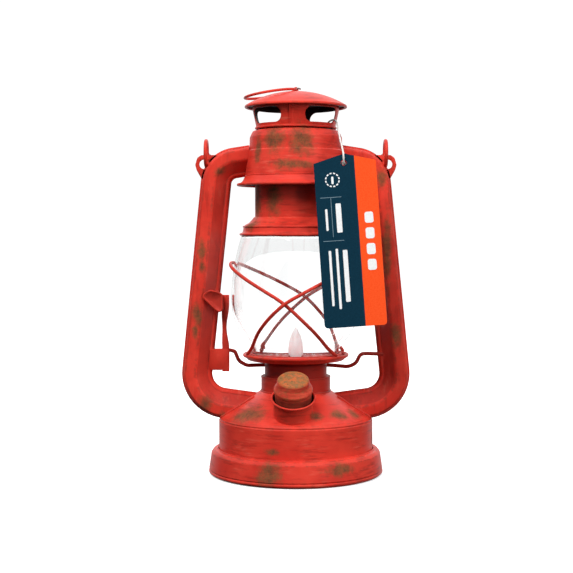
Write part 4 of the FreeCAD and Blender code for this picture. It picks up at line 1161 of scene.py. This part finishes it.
def make_tubes():
    """Each half is its section carried down the arm, the bend, the side, the bend and the foot."""
    path = tube_path()
    tangent = np.gradient(path, axis=0)
    tangent /= np.linalg.norm(tangent, axis=1, keepdims=True)
    across = np.tile(np.array((0.0, 1.0, 0.0)), (len(path), 1))
    outward = np.cross(across, tangent)
    for half, side in (("front", -1), ("rear", 1)):
        loop, worn, inside = tube_section(side)
        grid = carry(path, loop, (tangent, outward, across))
        for name, flip in (("left", 1), ("right", -1)):
            turned = grid * np.array((flip, 1, 1))
            fields = [np.tile(values, (len(grid), 1)) for values in (worn, inside)]
            surface = Surface(turned, False, True, *fields)
            node = f"{name}_tube_{half}"
            piece(node + "_pressing", surface, "frame", tube_red, [node])


EAR_HOLE = (-57.6, 194.6)
EAR_HOLE_R = 2.9


def make_ears():
    """A plate drawn as rays from its hole to a rounded outline, on each side of the seam plane."""
    outline, _ = rounded(
        [(-47.0, 200.4), (-59.4, 200.4), (-61.9, 198.6), (-63.2, 194.2), (-62.2, 190.8), (-58.6, 184.4),
         (-50.0, 186.0), (-47.0, 192.0)], [1, 2.4, 2.2, 3, 3, 2, 1, 1], closed=True, steps=8)
    outline = along(np.concatenate([outline, outline[:1]]), 0.8)[:-1]
    hole = np.array(EAR_HOLE)
    way = outline - hole
    rim = hole + way / np.linalg.norm(way, axis=1, keepdims=True) * EAR_HOLE_R
    share = np.array([0, 0.08, 0.5, 0.94, 1.0])[:, None, None]
    face = rim[None] * (1 - share) + outline[None] * share
    depth = np.array([0.3, 0.5, 0.5, 0.5, 0.3])[:, None]
    worn = np.concatenate([[1, 1, 0, 1, 1], [1, 1, 0, 1, 1]])
    for name, flip in (("left", 1), ("right", -1)):
        front = np.stack([face[..., 0] * flip, -depth + 0 * face[..., 0], face[..., 1]], 2)
        back = np.stack([face[..., 0] * flip, depth + 0 * face[..., 0], face[..., 1]], 2)
        grid = np.concatenate([front, back[::-1]])
        ear = Surface(grid, True, True, worn)
        piece(f"{name}_ear_plate", ear, "frame", tube_red, [f"{name}_ear"])


# Crown and hood -------------------------------------------------------------------------------


CROWN_MOUTH = 24.3


def make_crown():
    shell = spun(
        [(CROWN_R, CROWN_LOW), (CROWN_R, CROWN_LOW + 1.2), (CROWN_R - 1.8, CROWN_LOW + 15.6),
         (CROWN_R - 2.45, CROWN_LOW + 16.1), (CROWN_R - 2.7, CROWN_LOW + 24.0),
         (CROWN_R - 4.6, CROWN_TOP - 0.5), (CROWN_MOUTH, CROWN_TOP)],
        [0, 1, 0.7, 0.7, 2.6, 2.2, 0], steps=256)
    piece("crown_shell", shell, "frame", turned_red, ["crown"])
    bell_line = [(BELL_R - 1.0, BELL_LOW + 1.3), (CROWN_R + 2.0, CROWN_LOW - 3.6), (CROWN_R, CROWN_LOW + 0.4)]
    flare, _ = rounded(bell_line, [0, 9, 0], steps=10)
    bell = spun([tuple(p) for p in flare], 0, steps=256)
    roll = bead(BELL_R - 0.9, BELL_LOW + 0.9, 0.9, 256)
    neckline = bead(CROWN_R + 0.05, CROWN_LOW + 0.3, 0.45, 256)
    piece("bell_flare", [bell, roll, neckline], "frame", turned_red, ["bell_flange"])


def make_holder():
    foot = HOLDER_LOW + 0.5
    shell = spun(
        [(HOLDER_R - 0.5, foot + 0.7), (HOLDER_R - 1.6, foot + 1.3), (HOLDER_R - 2.1, foot + 2.0),
         (HOLDER_R - 2.5, foot + 4.9), (HOLDER_R - 3.6, foot + 6.2), (NECK_R + 3.6, foot + 7.6),
         (NECK_R + 0.7, HOLDER_TOP)],
        [0, 1.0, 0.8, 1.2, 1.4, 3.0, 0], steps=256)
    roll = bead(HOLDER_R - 0.8, foot + 0.3, 0.8, 256)
    band = bead(HOLDER_R - 2.5, foot + 5.1, 0.5, 256)
    piece("globe_holder_cone", [shell, roll, band], "hood", turned_red, ["globe_holder"])


SLOT_TURN = -4.0
SLOT_HALF = 28.5
SLOT_MIDDLE = 7.9
SLOT_HALF_HIGH = 4.7
SLOT_CORNER = 4.4
SEAM_AT = math.radians(-98.5)


def drum_radius(height):
    """The drum leans outwards from its foot, then stands straight under the cap."""
    share = np.clip((height - DRUM_LOW - 1.0) / 10.8, 0, 1)
    return DRUM_R - 2.35 + 2.35 * share


def stadium(half_wide, half_high, radius, angle):
    """Distance from the centre to a rounded rectangle's edge along each angle."""
    c, s = np.abs(np.cos(angle)), np.abs(np.sin(angle))
    flat = np.minimum(half_wide / np.maximum(c, 1e-6), half_high / np.maximum(s, 1e-6))
    cx, cy = half_wide - radius, half_high - radius
    b = c * cx + s * cy
    square = b**2 - (cx**2 + cy**2 - radius**2)
    corner = b + np.sqrt(np.maximum(square, 0))
    at_x, at_y = flat * c, flat * s
    return np.where((at_x > cx) & (at_y > cy), corner, flat)


def make_drum():
    """Four panels, each a rectangle of the wall with a rounded slot, drawn as rays from the slot."""
    low, high = DRUM_LOW + 1.0, DRUM_TOP - 0.3
    middle = DRUM_LOW + SLOT_MIDDLE
    panel_half = math.pi / 4
    mean_r = DRUM_R - 0.8
    half_w = panel_half * mean_r
    corner = [math.atan2(high - middle, half_w), math.pi - math.atan2(high - middle, half_w),
              math.pi + math.atan2(middle - low, half_w), TURN - math.atan2(middle - low, half_w)]
    angle = np.sort(np.concatenate([np.linspace(0, TURN, 160, endpoint=False), corner]))
    top_bottom = np.where(np.sin(angle) > 0, high - middle, middle - low)
    reach_out = np.minimum(half_w / np.maximum(np.abs(np.cos(angle)), 1e-9),
                           top_bottom / np.maximum(np.abs(np.sin(angle)), 1e-9))
    slot_edge = stadium(mean_r * math.radians(SLOT_HALF), SLOT_HALF_HIGH, SLOT_CORNER, angle)
    share = np.concatenate([[0, 0.03], np.linspace(0.1, 1, 9)])[:, None]
    ray = slot_edge * (1 - share) + reach_out * share
    u, v = ray * np.cos(angle), middle + ray * np.sin(angle)
    surfaces = []
    for quarter in range(4):
        azimuth = math.radians(SLOT_TURN + 45 + 90 * quarter) + u / mean_r
        outer_r = drum_radius(v)
        rows = []
        for inset in (0, SHEET):
            radius = outer_r - inset
            rows.append(np.stack([radius * np.cos(azimuth), radius * np.sin(azimuth), v], 2))
        grid = np.concatenate([rows[0], rows[1][::-1]])
        worn = np.concatenate([np.where(share[:, 0] < 0.05, 1.0, 0), np.zeros(len(share))])
        # Inner faces take painted shade through the inside value.
        inside = np.concatenate([np.zeros(len(share)), np.ones(len(share))])
        surfaces.append(Surface(grid, True, True, worn, inside))
    surfaces.append(bead(DRUM_R - 2.1, DRUM_LOW + 0.85, 0.75, 224))
    seam_z = np.linspace(low + 0.4, high - 0.5, 12)
    seam_r = drum_radius(seam_z) + 0.1
    seam_path = np.stack([seam_r * math.cos(SEAM_AT), seam_r * math.sin(SEAM_AT), seam_z], 1)
    seam = wire(seam_path, 0.42, steps=8)
    surfaces.append(Surface(seam, False, True, np.full(len(seam), 0.3)))
    piece("vent_drum_wall", surfaces, "hood", turned_red, ["vent_drum"])


def make_cap():
    """A shallow dome, part of a sphere, whose rim turns down and rolls under."""
    rim = CAP_LOW + 1.4
    rise = CAP_TOP - rim
    sphere = (CAP_R**2 + rise**2) / (2 * rise)
    radius = np.linspace(0, CAP_R - 1.2, 40)
    line = np.stack([radius, CAP_TOP - sphere + np.sqrt(sphere**2 - radius**2)], 1)
    hem_line = [tuple(line[-1]), (CAP_R - 0.1, rim + 0.1), (CAP_R - 0.25, CAP_LOW + 0.4)]
    hem, bends = rounded(hem_line, [0, 0.7, 0])
    outer = np.concatenate([line, hem[1:]])[::-1]
    turns = np.concatenate([np.zeros(len(line)), bends[1:]])[::-1]
    inner = outer - normals_2d(outer) * SHEET
    inner[-1] = (0, inner[-1, 1])
    outer[-1, 0] = 0
    loop = np.concatenate([outer, inner[::-1]])
    # The dome's underside takes painted shade through the inside value.
    inside = np.concatenate([np.zeros(len(outer)), np.ones(len(inner))])
    worn = np.concatenate([turns, np.zeros(len(inner))])
    dome = Surface(spin(loop, 224), True, True, worn, inside)
    roll = bead(CAP_R - 0.75, CAP_LOW + 0.75, 0.75, 224)
    piece("cap_dome", [dome, roll], "hood", turned_red, ["cap"])


RING_REST = math.radians(9.0)
RING_R = 16.15
RING_WIRE = 0.85
RING_PIVOT = 241.0
STAPLE_R = 1.25
STAPLE_FOOT = 239.4


def make_ring():
    angle = np.linspace(0, TURN, 160, endpoint=False)
    away = RING_R * (1 - np.cos(angle))
    height = RING_PIVOT - away * math.sin(RING_REST)
    path = np.stack([-away * math.cos(RING_REST), RING_R * np.sin(angle), height], 1)
    grid = wire(path, RING_WIRE, closed=True, steps=14)
    ring = Surface(grid, True, True, np.full(len(grid), 0.4))
    piece("lift_ring_wire", ring, "lift_ring", wire_red, ["lift_ring"])
    eye = np.linspace(-0.15, math.pi + 0.15, 24)
    staple = np.stack([STAPLE_R * np.cos(eye), np.zeros(24), RING_PIVOT + 0.2 + 1.2 * np.sin(eye)], 1)
    legs = [(STAPLE_R, 0, STAPLE_FOOT)] + [tuple(p) for p in staple] + [(-STAPLE_R, 0, STAPLE_FOOT)]
    loop = wire(along(np.array(legs), 0.5), 0.42, steps=10)
    end = wire(np.array([(0.6, -0.5, 241.6), (1.6, -0.6, 241.9), (2.7, -0.7, 241.5)]), 0.55, steps=10)
    staple_loop = Surface(loop, False, True, np.full(len(loop), 0.6))
    piece("ring_staple_loop", staple_loop, "hood", wire_red, ["ring_staple"])
    piece("ring_wire_end", Surface(end, False, True), "hood", steel)


# Dimmer ---------------------------------------------------------------------------------------

DIMMER_BASE = np.array((-1.5, -36.0, 43.1))
DIMMER_LEAN = math.radians(25.7)
DIMMER_AXIS = np.array((0, -math.sin(DIMMER_LEAN), math.cos(DIMMER_LEAN)))
SOCKET_R = 12.0
KNOB_R = 11.7
KNOB_FOOT = 8.0
KNOB_TOP = 24.2


def leaned(surface):
    """Turn a piece made about the vertical axis onto the dimmer's own axis."""
    x, y, z = (surface.points[..., k] for k in range(3))
    side = np.array((0, math.cos(DIMMER_LEAN), math.sin(DIMMER_LEAN)))
    surface.points = (DIMMER_BASE + x[..., None] * np.array((1.0, 0, 0)) + y[..., None] * side
                      + z[..., None] * DIMMER_AXIS)
    return surface


def make_dimmer():
    cup = spun([(SOCKET_R, -3.0), (SOCKET_R, 7.4), (SOCKET_R + 0.4, 9.2), (SOCKET_R + 1.1, 10.6)],
               [0, 2.0, 1.6, 0], steps=160, gap=2.0)
    lip = bead(SOCKET_R + 0.9, 10.8, 0.6, 160)
    socket = [leaned(cup), leaned(lip)]
    piece("dimmer_socket_cup", socket, "frame", turned_red, ["dimmer_socket"])
    knob = solid(
        [(0, KNOB_FOOT), (KNOB_R - 1.4, KNOB_FOOT), (KNOB_R - 0.7, 9.6), (KNOB_R - 0.5, 15.2),
         (KNOB_R - 0.05, 15.9), (KNOB_R, 17.2), (KNOB_R - 1.7, 20.4), (KNOB_R - 2.2, 23.2),
         (KNOB_R - 3.0, KNOB_TOP - 0.05), (0, KNOB_TOP)],
        [0, 0.9, 0.8, 0.4, 0.5, 1.6, 2.4, 0.8, 0.9, 0], steps=160)
    top = tuple((DIMMER_BASE + DIMMER_AXIS * KNOB_TOP) * MM)
    paint = knob_paint(top, tuple(DIMMER_AXIS))
    piece("dimmer_knob_cap", leaned(knob), "dimmer_knob", paint, ["dimmer_knob"])


# Battery bay ----------------------------------------------------------------------------------


CELL_PITCH = 15.2
CELL_HEIGHT = 15.9
SPRING_FACE = 26.5


def make_springs():
    """Each contact spring is a helix whose radius shrinks from foot to tip."""
    coils = []
    for index, way in enumerate((1, -1, 1)):
        turn = np.linspace(0, 3.6 * TURN, 110)
        share = turn / turn[-1]
        radius = 4.1 - 1.6 * share
        x = way * (1.7 * share - SPRING_FACE)
        y = (index - 1) * CELL_PITCH + radius * np.cos(turn)
        path = np.stack([x, y, CELL_HEIGHT + radius * np.sin(turn)], 1)
        coils.append(Surface(wire(path, 0.3, steps=8), False, True))
    piece("contact_spring_wires", coils, "frame", steel, ["contact_springs"])


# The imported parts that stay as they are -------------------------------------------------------


def finish_packed():
    """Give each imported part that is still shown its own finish."""
    finishes = {
        black_metal: ["hood_guide", "chimney_tube"],
        # Painted shade: the gallery, deck and tank floor take the darkened red.
        shaded_red: ["burner_gallery", "burner_deck", "tank_floor"],
        turned_red: ["neck_tube"],
        wire_red: ["bail"],
        black_plastic: ["battery_door", "battery_tray", "board_components", "dimmer_potentiometer"],
        board_green: ["driver_board"],
        steel: ["contact_strips", "board_screws", "dimmer_nut", "dimmer_shaft"],
        jacket: ["battery_cells"],
        plain("milky_stem", tone(220, 212, 210), tone(236, 230, 228), 600, 0.5): ["flame_stem", "led_emitter",
                                                                                 "led_leads"],
    }
    for material, nodes in finishes.items():
        for node in nodes:
            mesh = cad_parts[node].data
            mesh.materials.clear()
            mesh.materials.append(material)


def make_floor():
    """A wide pale disc that the lantern stands on."""
    radius = np.array((0.0, 0.5, 2.0, 9.0))[:, None]
    angle = np.linspace(0, TURN, 96, endpoint=False)
    grid = np.stack([radius * np.cos(angle), radius * np.sin(angle), 0 * radius * angle - 0.00005], 2)
    rows, cols = grid.shape[:2]
    index = np.arange(rows * cols).reshape(rows, cols)
    nxt = np.roll(index, -1, 1)
    faces = np.stack([index[:-1], index[1:], nxt[1:], nxt[:-1]], 2).reshape(-1, 4)
    mesh = bpy.data.meshes.new("studio_floor")
    mesh.from_pydata(grid.reshape(-1, 3).tolist(), [], faces.tolist())
    mesh.materials.append(floor_white)
    floor = bpy.data.objects.new("studio_floor", mesh)
    bpy.context.scene.collection.objects.link(floor)
    floor.visible_diffuse = False
    floor.visible_glossy = False


BUILDERS = (
    make_tank, make_mitres, make_collar, make_flame, make_plate, make_globe, make_guards, make_crossbar,
    make_lift_strap, make_tubes, make_ears, make_crown, make_holder, make_drum, make_cap, make_ring,
    make_dimmer, make_springs, finish_packed, make_floor,
)
for build in BUILDERS:
    build()
